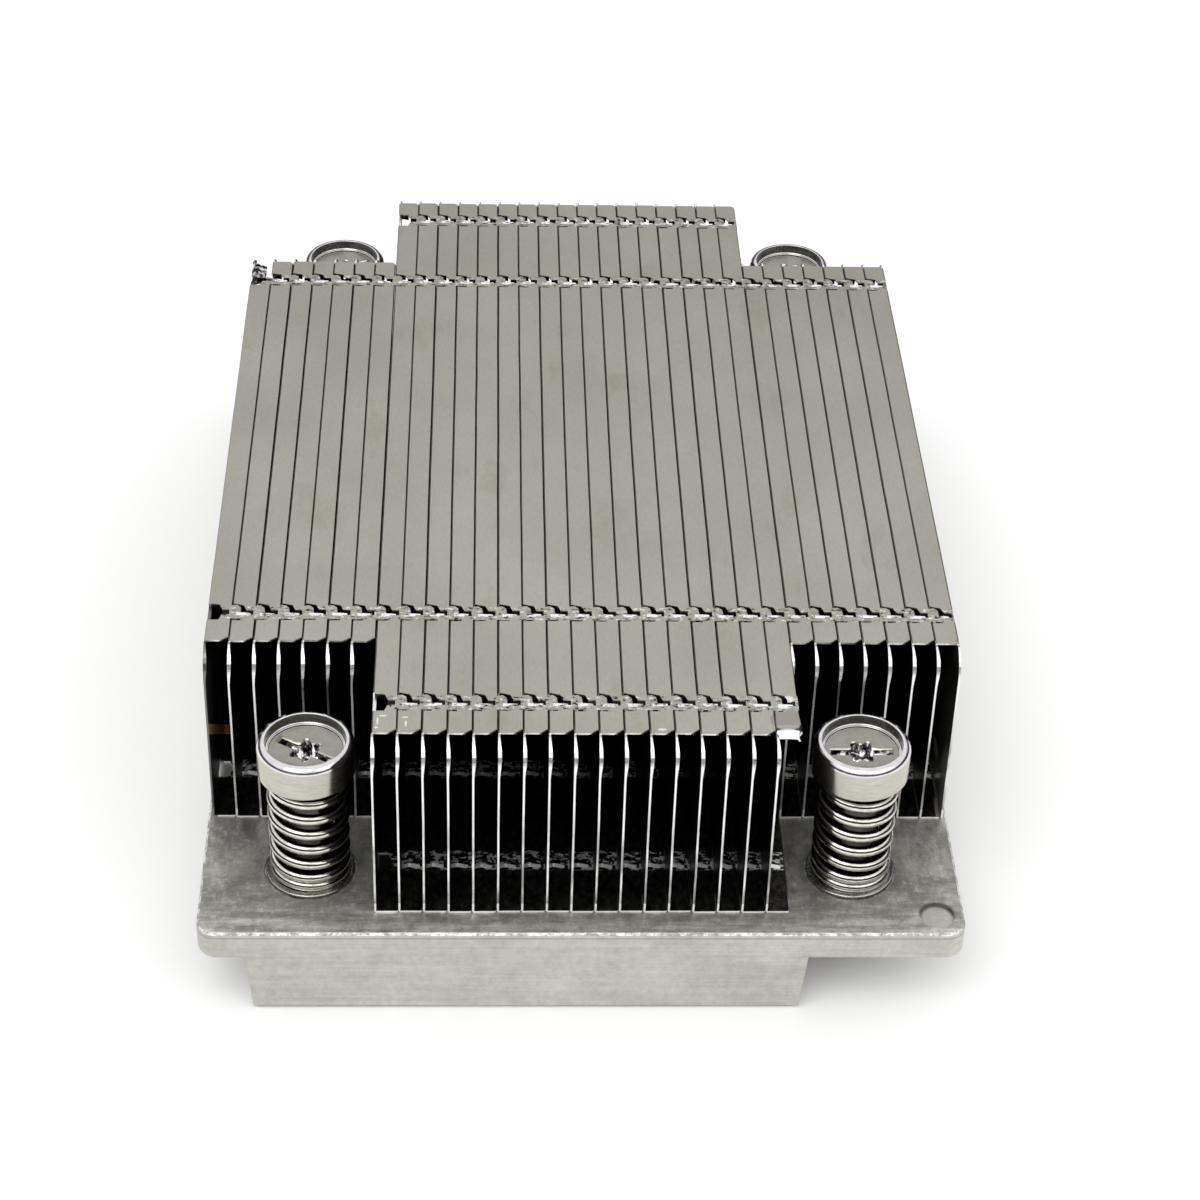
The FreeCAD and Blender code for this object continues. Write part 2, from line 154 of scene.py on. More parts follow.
def ramp(tree, factor, stops):
    """A colour ramp. Each stop is a position and a colour, or a grey level."""
    node = put(tree, "ShaderNodeValToRGB", {"Fac": factor})
    steps = node.color_ramp.elements
    while len(steps) < len(stops):
        steps.new(0.5)
    for step, (position, colour) in zip(steps, stops):
        step.position = position
        step.color = (*colour, 1) if isinstance(colour, tuple) else (colour, colour, colour, 1)
    return node.outputs["Color"]


def mixed(tree, factor, first, second, how="MIX"):
    """Two colours mixed by a factor."""
    node = put(tree, "ShaderNodeMix", data_type="RGBA", blend_type=how)
    factor_in, first_in, second_in = node.inputs["Factor"], node.inputs[6], node.inputs[7]
    for socket, value in [(factor_in, factor), (first_in, first), (second_in, second)]:
        if isinstance(value, bpy.types.NodeSocket):
            tree.links.new(value, socket)
        else:
            socket.default_value = (*value, 1) if isinstance(value, tuple) else value
    return node.outputs[2]


def climb(tree, value, start, end):
    """A value turned into a mask that goes evenly from 0 at its start to 1 at its end."""
    return put(tree, "ShaderNodeMapRange", {"Value": value, "From Min": start, "From Max": end}).outputs[0]


def fade(tree, axis, start, end):
    """A mask that goes softly from 0 to 1 between two places, in metres, along one axis."""
    place = put(tree, "ShaderNodeTexCoord").outputs["Object"]
    along = put(tree, "ShaderNodeSeparateXYZ", {0: place}).outputs[axis]
    limits = {"Value": along, "From Min": start, "From Max": end}
    return put(tree, "ShaderNodeMapRange", limits, interpolation_type="SMOOTHSTEP").outputs[0]


def times(tree, *masks):
    """Masks multiplied with each other."""
    product = masks[0]
    for mask in masks[1:]:
        product = put(tree, "ShaderNodeMath", {0: product, 1: mask}, operation="MULTIPLY").outputs[0]
    return product


def strongest(tree, *masks):
    """The highest of some masks, place by place."""
    highest = masks[0]
    for mask in masks[1:]:
        highest = put(tree, "ShaderNodeMath", {0: highest, 1: mask}, operation="MAXIMUM").outputs[0]
    return highest


def between(tree, axis, start, full, waning, end):
    """A mask along one axis, by four places in millimetres: it rises from start to full, and
    falls from waning to end."""
    rise = fade(tree, axis, start * MM, full * MM)
    return times(tree, rise, fade(tree, axis, end * MM, waning * MM))


def blot(tree, place, size, start=1.0, end=0.6, ragged=0.0):
    """A patch round a place: 0 past start, 1 within end. Its size, in millimetres, is the
    distance along each axis that counts as 1. Noise can make its outline ragged."""
    spot = put(tree, "ShaderNodeTexCoord").outputs["Object"]
    middle, shares = [c * MM for c in place], [1 / (s * MM) for s in size]
    near = put(tree, "ShaderNodeVectorMath", {0: spot, 1: middle}, operation="SUBTRACT").outputs[0]
    near = put(tree, "ShaderNodeVectorMath", {0: near, 1: shares}, operation="MULTIPLY").outputs[0]
    reach = put(tree, "ShaderNodeVectorMath", {0: near}, operation="LENGTH").outputs["Value"]
    if ragged:
        noise = speckle(tree, [2.5 / s for s in size], 4, 0.7)
        jagged = {0: noise, 1: ragged, 2: reach}
        reach = put(tree, "ShaderNodeMath", jagged, operation="MULTIPLY_ADD").outputs[0]
    return climb(tree, reach, start, end)


def bumped(tree, shader, height, depth):
    """Relief from a height pattern, depth in millimetres."""
    node = put(tree, "ShaderNodeBump", {"Height": height, "Distance": depth * MM, "Strength": 1})
    tree.links.new(node.outputs["Normal"], shader.inputs["Normal"])


print("shader helpers ready")

# %% [markdown]
# ## Fin sheet
# The fins are thin plated sheet. On the tops it is a satin grey with a hint of yellow, fine
# rolling grain along the fin, faint brown stains and small scratches. Three noises at
# different scales give the stains, the grain and the gloss. The walls and feet between the
# fins get painted shade: they are near black and dark where shade falls between the sheets.
# A mask by place tells the two apart: all that lies below the top flanges and between the
# two outer sheets counts as inside.

# %% Where the stack is
LOCK_INSET_FRONT, LOCK_INSET_BACK = 7.55, 6.25
stack_low, stack_high = [Vector(corner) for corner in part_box("fin_01")]
stack_high.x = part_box("fin_31")[1][0]
FIN_PITCH = (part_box("fin_02")[0][0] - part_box("fin_01")[0][0]) / MM
STACK_LEFT, STACK_RIGHT, STACK_TOP = stack_low.x / MM, stack_high.x / MM, stack_high.z / MM
SIDE_FRONT, SIDE_REAR = stack_low.y / MM, stack_high.y / MM
MIDDLE_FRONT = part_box("fin_08")[0][1] / MM


def row_places():
    """The lock rows along the stack, in millimetres: two for the side fins, two for the middle."""
    places = []
    for fin in ("fin_01", "fin_08"):
        low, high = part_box(fin)
        places += [low[1] / MM + LOCK_INSET_FRONT, high[1] / MM - LOCK_INSET_BACK]
    return places


print("stack, mm:", [round((b - a) / MM, 1) for a, b in zip(stack_low, stack_high)])


# %% Which part of the sheet is which
def inside_mask(tree):
    """1 on the walls and feet between the fins, 0 on the tops and on the two outer sheets."""
    skin = 0.18 * MM
    return times(
        tree,
        fade(tree, "X", stack_low.x + skin, stack_low.x + skin + 0.05 * MM),
        fade(tree, "X", stack_high.x - skin, stack_high.x - skin - 0.05 * MM),
        fade(tree, "Z", stack_high.z - 0.09 * MM, stack_high.z - 0.16 * MM),
    )


def row_mask(tree, start, full, waning, end):
    """1 in a strip along each lock row, which four distances from the row give, 0 elsewhere."""
    return strongest(tree, *[
        between(tree, "Y", y + start, y + full, y + waning, y + end) for y in row_places()
    ])


print("lock rows, mm:", [round(y, 1) for y in row_places()])

# %% [markdown]
# ## Wear and painted light in single places
# A used part has a history: a knocked ear, a crushed corner, scratches beside the locks, and
# a flake on the last wall. Beside them are painted light: a lighter lower front on the last
# wall, and a painted copper reflection with painted highlights in the first channel. Painted
# images would do, but they would have to be unwrapped for every fin. A blot, which is a patch
# round a place in the stack, needs no unwrapping. Each mark has a middle, a size, a roughness
# of outline and a colour. The flake and the painted patches are less metallic too, or they
# would only mirror the dark walls about them.

# %% Marks
PALE, LILAC, BROWN = (0.9, 0.89, 0.87), (0.78, 0.76, 0.82), (0.38, 0.345, 0.32)
MARK_RIM = 0.86
EAR = STACK_LEFT + 23 * FIN_PITCH
NINTH, TENTH = STACK_LEFT + 7 * FIN_PITCH, STACK_LEFT + 8 * FIN_PITCH
NINETEENTH = STACK_LEFT + 18 * FIN_PITCH
TOP_MARKS = [
    # The knocked ear: rubbed brown, with a torn lilac lip and bright splinters behind it.
    ((EAR + 1.2, MIDDLE_FRONT + 5.0, STACK_TOP), (1.9, 1.75, 0.5), 0.1, BROWN),
    ((EAR + 1.2, MIDDLE_FRONT + 3.0, STACK_TOP - 0.52), (2.0, 1.3, 0.46), 0.12, LILAC),
    ((EAR + 1.5, MIDDLE_FRONT + 8.2, STACK_TOP), (1.3, 0.9, 0.6), 0.8, PALE),
    ((EAR + 1.0, MIDDLE_FRONT + 6.9, STACK_TOP), (1.2, 0.35, 0.4), 0.8, PALE),
    # Scratches on two tabs at the left, and one further right.
    ((NINTH + 1.1, MIDDLE_FRONT + 5.4, STACK_TOP), (0.55, 0.16, 0.4), 0.3, PALE),
    ((NINTH + 0.6, MIDDLE_FRONT + 4.6, STACK_TOP), (0.12, 0.75, 0.4), 0.3, PALE),
    ((NINTH + 0.5, MIDDLE_FRONT + 3.6, STACK_TOP), (0.3, 0.3, 0.4), 0.7, PALE),
    ((TENTH + 0.8, MIDDLE_FRONT + 5.2, STACK_TOP), (0.4, 0.14, 0.4), 0.3, PALE),
    ((TENTH + 0.9, MIDDLE_FRONT + 4.2, STACK_TOP), (0.16, 0.7, 0.4), 0.5, PALE),
    ((NINETEENTH + 1.2, MIDDLE_FRONT + 3.4, STACK_TOP), (0.8, 0.3, 0.4), 0.8, PALE),
]
# On the inner side of the last wall: a lighter, less metallic lower front, which is painted light, and a
# pale flake.
WALL_MARKS = [
    ((STACK_RIGHT - 0.46, SIDE_FRONT + 0.5, STACK_TOP - 17.0), (0.45, 4.5, 6.5), 0.1, (0.24, 0.235, 0.22)),
    ((STACK_RIGHT - 0.46, SIDE_FRONT + 7.4, STACK_TOP - 17.9), (0.45, 2.6, 1.6), 0.25, (0.95, 0.95, 0.97)),
]
# A painted copper reflection in the first channel: a bar with pale painted highlights as its
# rims. It sinks towards the back by BAR_SLOPE. Each stripe has its lower and upper edge, as
# depths below the top, and its colour: copper between pale rims.
BAR_SLOPE = 0.833
BAR_STRIPES = [
    (10.2, 8.75, (0.95, 0.40, 0.20)), (9.05, 8.75, (0.98, 0.84, 0.74)), (10.2, 9.9, (0.98, 0.80, 0.68)),
]
print("single marks:", len(TOP_MARKS) + len(WALL_MARKS) + 1)


# %% Paint the marks
def crumbled(tree, colour):
    """The crushed corner of the first fin: dark and bright crumbs."""
    corner = blot(tree, (STACK_LEFT + 1.0, SIDE_REAR - 3.6, STACK_TOP - 0.6), (1.9, 3.6, 2.0))
    patches = ramp(tree, speckle(tree, (0.9, 0.9, 0.9), 2), [(0.47, 0.0), (0.5, 1.0)])
    crumbs = ramp(tree, speckle(tree, (1.3, 1.3, 1.3), 2), [
        (0.46, (0.03, 0.025, 0.03)), (0.56, (0.9, 0.88, 0.88)),
    ])
    return mixed(tree, times(tree, corner, patches), colour, crumbs)


def bar_masks(tree):
    """One mask for each stripe of the painted bar, on the inner side of the first fin only."""
    channel = times(
        tree,
        between(tree, "X", STACK_LEFT + 0.1, STACK_LEFT + 0.15, STACK_LEFT + 1.4, STACK_LEFT + 1.5),
        fade(tree, "Y", (SIDE_FRONT + 26) * MM, (SIDE_FRONT + 18) * MM),
    )
    place = put(tree, "ShaderNodeTexCoord").outputs["Object"]
    parts = put(tree, "ShaderNodeSeparateXYZ", {0: place}).outputs
    sloping = {0: parts["Y"], 1: BAR_SLOPE, 2: parts["Z"]}
    height = put(tree, "ShaderNodeMath", sloping, operation="MULTIPLY_ADD").outputs[0]
    datum = STACK_TOP + BAR_SLOPE * SIDE_FRONT
    soft = 0.12
    masks = []
    for low, high, _ in BAR_STRIPES:
        rise = climb(tree, height, (datum - low) * MM, (datum - low + soft) * MM)
        fall = climb(tree, height, (datum - high) * MM, (datum - high - soft) * MM)
        masks.append(times(tree, channel, rise, fall))
    return masks


def marked(tree, colour, less_metallic):
    """Lay all the marks over the clean colour. Returns the worn colour, and how metallic the
    sheet still is."""
    for place, size, ragged, shade in TOP_MARKS:
        colour = mixed(tree, blot(tree, place, size, 1.0, MARK_RIM, ragged), colour, shade)
    colour = crumbled(tree, colour)
    for place, size, ragged, shade in WALL_MARKS:
        wall_patch = blot(tree, place, size, 1.0, MARK_RIM, ragged)
        colour = mixed(tree, wall_patch, colour, shade)
        less_metallic = strongest(tree, less_metallic, wall_patch)
    # Painted reflection: the copper bar and its pale highlight rims, less metallic.
    for stripe, (_, _, shade) in zip(bar_masks(tree), BAR_STRIPES):
        colour = mixed(tree, stripe, colour, shade)
        less_metallic = strongest(tree, less_metallic, stripe)
    worn = {"Value": less_metallic, "To Min": 1.0, "To Max": 0.1}
    return colour, put(tree, "ShaderNodeMapRange", worn).outputs[0]


print("copper bar:", round(BAR_STRIPES[0][0] - BAR_STRIPES[0][1], 2), "mm high")

# %% [markdown]
# ## The sheet from clean to worn and shaded
# The finish is laid on in layers: clean plating with clouds, stains and rolling grain,
# then painted shade and painted glints along the lock rows, then painted shade between the
# fins with painted glints at the foot locks, and last the single marks, some of them painted light.


# %% Fin materials
def clean_sheet(tree, grain):
    """Satin plating with clouds, faint brown stains and rolling grain."""
    clean, pale, brown = (0.445, 0.435, 0.38), (0.515, 0.505, 0.45), (0.34, 0.30, 0.225)
    cloud = ramp(tree, speckle(tree, (0.06, 0.045, 0.06), 5), [(0.35, 0.0), (0.7, 1.0)])
    stain = ramp(tree, speckle(tree, (0.16, 0.07, 0.1), 7, 0.7), [(0.58, 0.0), (0.85, 0.8)])
    colour = mixed(tree, cloud, clean, pale)
    colour = mixed(tree, stain, colour, brown)
    return mixed(tree, ramp(tree, grain, [(0.3, 0.0), (0.7, 0.12)]), colour, clean, "MULTIPLY")


def lock_row_shade_and_glints(tree, colour):
    """Painted shade in the lock holes and painted glints along the lock rows of the tops."""
    lock_specks = speckle(tree, (1.5, 2.2, 1.5), 3, 0.65)
    near_top = fade(tree, "Z", stack_high.z - 0.5 * MM, stack_high.z - 0.3 * MM)
    locks = times(tree, row_mask(tree, -1.2, -1.1, 0.9, 1.1), near_top)
    # Painted shade: black specks stand for the shaded holes; painted glints: white specks.
    hole_shade = times(tree, locks, ramp(tree, lock_specks, [(0.38, 1.0), (0.42, 0.0)]))
    colour = mixed(tree, hole_shade, colour, (0.04, 0.032, 0.03))
    glints = times(tree, locks, ramp(tree, lock_specks, [(0.58, 0.0), (0.63, 1.0)]))
    return mixed(tree, glints, colour, (0.93, 0.91, 0.92))


def shade_inside(tree, colour):
    """Painted shade on the walls and feet between the fins, and painted glints where the feet lock.
    Returns the glints as well.
    """
    # Painted shade: the walls between the fins are near black, and their feet dark and mottled.
    walls = ramp(tree, speckle(tree, (0.9, 0.25, 0.5), 4), [
        (0.35, (0.022, 0.02, 0.02)), (0.75, (0.06, 0.057, 0.053)),
    ])
    foot_shade = ramp(tree, speckle(tree, (1.6, 1.0, 1.0), 5, 0.7), [
        (0.4, (0.035, 0.033, 0.03)), (0.75, (0.26, 0.25, 0.23)),
    ])
    foot = fade(tree, "Z", stack_low.z + 0.36 * MM, stack_low.z + 0.3 * MM)
    inside = inside_mask(tree)
    colour = mixed(tree, inside, colour, mixed(tree, foot, walls, foot_shade))
    # Painted glints: white specks round the foot locks.
    glint_specks = ramp(tree, speckle(tree, (0.9, 1.9, 2.0), 4, 0.7), [(0.5, 0.0), (0.55, 1.0)])
    low_down = fade(tree, "Z", stack_low.z + 1.3 * MM, stack_low.z + 1.2 * MM)
    foot_glints = times(tree, low_down, row_mask(tree, -1.5, -1.3, 1.3, 1.5), glint_specks, inside)
    return mixed(tree, foot_glints, colour, (0.97, 0.95, 0.95)), foot_glints


def fin_material():
    """The sheet itself: its colour, how metallic and glossy it is, and its grain."""
    material, tree, shader = metal("fin_sheet")
    grain = speckle(tree, (6.0, 1.2, 6.0), 3)
    colour = lock_row_shade_and_glints(tree, clean_sheet(tree, grain))
    colour, foot_glints = shade_inside(tree, colour)
    colour, metallic = marked(tree, colour, foot_glints)
    tree.links.new(colour, shader.inputs["Base Color"])
    tree.links.new(metallic, shader.inputs["Metallic"])
    tree.links.new(ramp(tree, grain, [(0.2, 0.30), (0.8, 0.48)]), shader.inputs["Roughness"])
    bumped(tree, shader, grain, 0.006)
    return material


def cut_edge_material():
    """The sheared edge, with painted highlights: near white towards the top, and at the foot, where
    it is less metallic too. The outermost edge at the left stays dark."""
    material, tree, shader = metal("fin_cut_edge")
    # Painted highlight: the edge is near white towards the top, with patches below.
    highlight_band = fade(tree, "Z", stack_low.z + 4 * MM, stack_high.z - 2.5 * MM)
    patches = ramp(tree, speckle(tree, (0.9, 0.5, 0.22), 3), [
        (0.38, (0.30, 0.30, 0.29)), (0.6, (0.86, 0.86, 0.84)),
    ])
    colour = mixed(tree, highlight_band, patches, (0.93, 0.93, 0.92))
    # Painted highlight: near white and less metallic at the foot.
    foot = fade(tree, "Z", stack_low.z + 1.3 * MM, stack_low.z + 1.1 * MM)
    colour = mixed(tree, foot, colour, (0.97, 0.97, 0.95))
    less_metallic = {"Value": foot, "To Min": 1.0, "To Max": 0.3}
    tree.links.new(put(tree, "ShaderNodeMapRange", less_metallic).outputs[0], shader.inputs["Metallic"])
    outer = times(tree, fade(tree, "X", stack_low.x + 0.6 * MM, stack_low.x + 0.5 * MM), 0.9)
    tree.links.new(mixed(tree, outer, colour, (0.12, 0.12, 0.12)), shader.inputs["Base Color"])
    gloss = ramp(tree, speckle(tree, (3.0, 3.0, 3.0)), [(0.3, 0.25), (0.7, 0.4)])
    tree.links.new(gloss, shader.inputs["Roughness"])
    return material


def one_noise_material(name, roughness, grain, stops):
    """A finish of one noise: the painted highlight of a tab's edge, the painted shade of a seam, the
    painted specks and glints of a lock.
    """
    material, tree, shader = metal(name, Roughness=roughness)
    tree.links.new(ramp(tree, speckle(tree, grain, 3), stops), shader.inputs["Base Color"])
    return material


FIN_SHEET = fin_material()
CUT_EDGE = cut_edge_material()
# Painted highlight: a tab's front edge is lighter than the sheet, in patches.
TAB_EDGE = one_noise_material("fin_tab_edge", 0.35, (1.5, 1.5, 1.5), [
    (0.35, (0.6, 0.59, 0.54)), (0.6, (0.92, 0.92, 0.88)),
])
# Painted shade: the groove walls at the seams are near black.
SEAM_SHADE = one_noise_material("fin_seam", 0.6, (2.0, 0.6, 2.0), [
    (0.3, (0.012, 0.009, 0.007)), (0.7, (0.05, 0.038, 0.03)),
])
# Painted shade and glints: the tongue tips are speckled near black and near white.
LOCK_SHADE_AND_GLINTS = one_noise_material("fin_lock", 0.3, (1.3, 2.4, 1.3), [
    (0.34, (0.05, 0.04, 0.04)), (0.42, (0.5, 0.47, 0.46)), (0.5, (0.96, 0.94, 0.95)),
])
print("nodes in the sheet's finish:", len(FIN_SHEET.node_tree.nodes))

# %% [markdown]
# ## Base
# The base is a die-cast or milled block, plated like the fins. Its front has streaks from
# milling. Its top is where hands, oil and dirt go, so it is darker and mottled, with oily
# rings round the screws, a scraped ejector mark near one corner, and a nicked front edge. Some
# is painted light: a highlight along the top edge, dark lines below it, a shadow before and
# under the fins, a patch of light under the first fin, and shade on one side of the ejector
# ring. All of that is masks by place on top of a few noises, like the marks on the fins.

# %% Where the base is
base_low, base_high = [[c / MM for c in corner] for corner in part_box("base")]
BASE_TOP = base_high[2]
EJECTOR_MARK = (base_high[0] - 2.8, base_low[1] + 2.8, BASE_TOP)
FIRST_WINDOW = (STACK_LEFT + 1.1, SIDE_FRONT + LOCK_INSET_FRONT, BASE_TOP)
print("base, mm:", [round(b - a, 1) for a, b in zip(base_low, base_high)])


# %% Base material
def edge_highlight_and_line(tree, colour):
    """Nicks and a painted highlight along the top edge, over a painted dark line below its round."""
    edge = between(tree, "Z", BASE_TOP - 0.28, BASE_TOP - 0.22, BASE_TOP - 0.04, BASE_TOP - 0.01)
    # Painted highlight: a bright band along the top edge, broken by nicks.
    nicks_and_highlight = ramp(tree, speckle(tree, (0.9, 0.9, 1.8), 6, 0.8), [
        (0.43, (0.34, 0.33, 0.30)), (0.58, (0.97, 0.97, 0.95)),
    ])
    colour = mixed(tree, edge, colour, nicks_and_highlight)
    # Painted shade: a dark line on the sides below the round of the top edge.
    line = between(tree, "Z", BASE_TOP - 0.85, BASE_TOP - 0.75, BASE_TOP - 0.6, BASE_TOP - 0.5)
    return mixed(tree, times(tree, line, 0.35), colour, (0.3, 0.29, 0.26))


def handled_and_shaded_top(tree, colour, on_top):
    """Grease, scuffs, brushing across the front, a painted shadow before the fins, grit, and a painted
    dark line below the top edge.
    """
    greasy = ramp(tree, speckle(tree, (0.16, 0.11, 0.11), 7, 0.72), [
        (0.34, (0.21, 0.205, 0.185)), (0.6, (0.47, 0.46, 0.42)),
    ])
    colour = mixed(tree, on_top, colour, greasy)
    scuffs = ramp(tree, speckle(tree, (0.5, 0.22, 0.5), 8, 0.75), [(0.47, 0.0), (0.62, 0.85)])
    colour = mixed(tree, times(tree, on_top, scuffs), colour, (0.62, 0.61, 0.56))
    front = fade(tree, "Y", (base_low[1] + 7) * MM, (base_low[1] + 2.5) * MM)
    brushed = ramp(tree, speckle(tree, (0.12, 0.85, 0.3), 7, 0.75), [
        (0.36, (0.30, 0.29, 0.26)), (0.5, (0.56, 0.55, 0.5)), (0.64, (0.86, 0.84, 0.78)),
    ])
    colour = mixed(tree, times(tree, on_top, front, 0.85), colour, brushed)
    # Painted shadow: the base top is darker, mottled, from just before the middle fins to under them.
    before = between(tree, "Y", MIDDLE_FRONT - 1.6, MIDDLE_FRONT - 0.4, MIDDLE_FRONT + 5, MIDDLE_FRONT + 6)
    fin_shadow_mottle = ramp(tree, speckle(tree, (0.3, 0.9, 0.3), 5, 0.7), [(0.4, 0.7), (0.62, 0.1)])
    colour = mixed(tree, times(tree, on_top, before, fin_shadow_mottle), colour, (0.2, 0.19, 0.175))
    grit = speckle(tree, (1.1, 0.8, 1.1), 6, 0.8)
    for stops, shade in [
        ([(0.34, 0.45), (0.52, 0.0)], (0.12, 0.115, 0.1)), ([(0.56, 0.0), (0.66, 0.6)], (0.75, 0.74, 0.7)),
    ]:
        colour = mixed(tree, times(tree, on_top, ramp(tree, grit, stops)), colour, shade)
    # Painted shade: another dark line on the sides below the top edge.
    line = between(tree, "Z", BASE_TOP - 0.75, BASE_TOP - 0.7, BASE_TOP - 0.6, BASE_TOP - 0.55)
    return mixed(tree, times(tree, line, 0.5), colour, (0.25, 0.245, 0.23))


def under_the_fins(tree, colour, on_top):
    """What shows through the windows in the feet: a painted shadow under the middle fins, and one
    painted patch of light under the first fin."""
    left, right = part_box("fin_08")[0][0] / MM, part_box("fin_24")[1][0] / MM
    covered = times(
        tree, fade(tree, "X", (STACK_LEFT + 0.2) * MM, (STACK_LEFT + 0.4) * MM), on_top,
        fade(tree, "Y", (MIDDLE_FRONT + 2) * MM, (MIDDLE_FRONT + 3) * MM))
    middle = between(tree, "X", left + 0.1, left + 0.3, right - 1.2, right - 1.0)
    # Painted shadow: near black on the base under the middle fins.
    colour = mixed(tree, times(tree, covered, middle), colour, (0.03, 0.028, 0.026))
    # Painted light: a bright patch under the first fin's front foot window.
    return mixed(tree, blot(tree, FIRST_WINDOW, (1.5, 2.6, 1.0), 1.0, 0.9), colour, (0.95, 0.94, 0.93))


def oil_and_ejector(tree, colour):
    """Oil that has crept out round each screw, and the ring of an ejector mark, with painted shade on its
    rear side.
    """
    for corner in CORNERS:
        low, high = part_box(f"{corner}_screw")
        middle = ((low[0] + high[0]) / 2 / MM, (low[1] + high[1]) / 2 / MM, BASE_TOP)
        oil = blot(tree, middle, (8.2, 7.0, 3), 1.0, 0.6, ragged=0.45)
        colour = mixed(tree, times(tree, oil, 0.75), colour, (0.10, 0.097, 0.09))
    disc = blot(tree, EJECTOR_MARK, (2.05, 2.05, 3), 1.0, 0.9)
    rim = blot(tree, EJECTOR_MARK, (1.65, 1.65, 3), 0.85, 1.0)
    # Painted shade: the ring is darker towards its rear side.
    shaded = fade(tree, "Y", (EJECTOR_MARK[1] - 1.2) * MM, (EJECTOR_MARK[1] + 1.0) * MM)
    return mixed(tree, times(tree, disc, rim, shaded, 0.8), colour, (0.09, 0.085, 0.08))


def base_material():
    """The block: cloudy plating, milling streaks, then the marks of handling."""
    material, tree, shader = metal("base_metal", Metallic=0.6)
    clouds = ramp(tree, speckle(tree, (0.12, 0.12, 0.12), 6, 0.65), [(0.3, 0.0), (0.72, 1.0)])
    streaks = speckle(tree, (0.05, 0.5, 2.2), 5, 0.7)
    grains = speckle(tree, (1.4, 1.4, 1.4), 5, 0.7)
    colour = mixed(tree, clouds, (0.42, 0.412, 0.375), (0.575, 0.565, 0.52))
    colour = mixed(tree, ramp(tree, streaks, [(0.4, 0.0), (0.8, 0.5)]), colour, (0.70, 0.70, 0.67))
    on_top = fade(tree, "Z", (BASE_TOP - 0.03) * MM, (BASE_TOP - 0.015) * MM)
    colour = handled_and_shaded_top(tree, edge_highlight_and_line(tree, colour), on_top)
    colour = oil_and_ejector(tree, under_the_fins(tree, colour, on_top))
    pits = ramp(tree, grains, [(0.35, 0.22), (0.6, 0.0)])
    tree.links.new(mixed(tree, pits, colour, (0.24, 0.23, 0.2)), shader.inputs["Base Color"])
    tree.links.new(ramp(tree, grains, [(0.3, 0.55), (0.7, 0.38)]), shader.inputs["Roughness"])
    bumped(tree, shader, mixed(tree, 0.4, grains, streaks), 0.05)
    return material


BASE_METAL = base_material()
print("nodes in the base's finish:", len(BASE_METAL.node_tree.nodes))

# %% [markdown]
# ## Plated steel
# The screws, springs and washers are glossy nickel-plated steel, so most of what they show is
# the room. The cup of a head, its driver slot, the shank and the inner side and underside of
# the spring wire get painted shade: they are darker where shade falls inside and between the
# parts. The slot also gets painted glints, the rim a painted highlight, and the wire painted
# reflections.


# %% Steel materials
def plated_material(name, colour, roughness, grain_scale):
    """Glossy plating with a little grain in its colour, gloss and relief."""
    material, tree, shader = metal(name)
    grain = speckle(tree, grain_scale, 3)
    darker = tuple(0.82 * c for c in colour)
    tree.links.new(ramp(tree, grain, [(0.3, darker), (0.65, colour)]), shader.inputs["Base Color"])
    gloss = ramp(tree, grain, [(0.2, roughness), (0.8, roughness + 0.12)])
    tree.links.new(gloss, shader.inputs["Roughness"])
    bumped(tree, shader, grain, 0.006)
    return material


def spring_material():
    """Wire with painted shade and painted reflections: dark on its inner side and underside, and
    round it pale and dark bands, with a dark line along its upper side. The attribute wire_side
    says how far a point lies outwards (x) and upwards (z) from the middle of the wire, from -1 to 1."""
    material, tree, shader = metal("spring_steel", Roughness=0.17)
    side = put(tree, "ShaderNodeAttribute", attribute_name="wire_side").outputs["Vector"]
    parts = put(tree, "ShaderNodeSeparateXYZ", {0: side}).outputs
    outwards, level = [
        put(tree, "ShaderNodeMath", {0: parts[axis], 1: 0.5, 2: 0.5}, operation="MULTIPLY_ADD").outputs[0]
        for axis in ("X", "Z")
    ]
    # Painted shade and reflections: the bands by height round the wire stand for the room's reflection.
    dark, dark_reflection_line, cream = (0.03, 0.025, 0.028), (0.12, 0.11, 0.11), (0.76, 0.75, 0.68)
    reflection_bands = ramp(tree, level, [
        (0.02, dark), (0.08, cream), (0.66, cream), (0.72, dark), (0.79, dark_reflection_line), (0.85, cream),
        (0.96, cream), (0.99, dark),
    ])
    colour = mixed(tree, ramp(tree, outwards, [(0.38, 0.0), (0.56, 1.0)]), dark, reflection_bands)
    marks = ramp(tree, speckle(tree, (1.5, 1.5, 1.5), 3), [(0.35, 0.25), (0.6, 0.0)])
    tree.links.new(mixed(tree, marks, colour, (0.12, 0.10, 0.09)), shader.inputs["Base Color"])
    return material


def recess_material():
    """The driver recess: painted shade inside, with painted glints in specks."""
    material, tree, shader = metal("screw_recess", Roughness=0.2)
    shade_and_glints = ramp(tree, speckle(tree, (1.0, 1.0, 1.0), 3), [
        (0.46, (0.05, 0.04, 0.045)), (0.53, (0.9, 0.88, 0.88)),
    ])
    tree.links.new(shade_and_glints, shader.inputs["Base Color"])
    return material


SCREW_PLATING = plated_material("screw_plating", (0.565, 0.555, 0.485), 0.16, (0.8, 0.8, 4.0))
# Painted highlight: the rim and the cup's step are lighter, a little lilac.
RIM_HIGHLIGHT = plated_material("screw_rim", (0.80, 0.785, 0.80), 0.11, (1.0, 1.0, 1.0))
# Painted shade: the cup of a head is darker than its outside.
CUP_SHADE = plated_material("screw_cup", (0.37, 0.362, 0.325), 0.2, (1.2, 1.2, 1.2))
RECESS_SHADE_AND_GLINTS = recess_material()
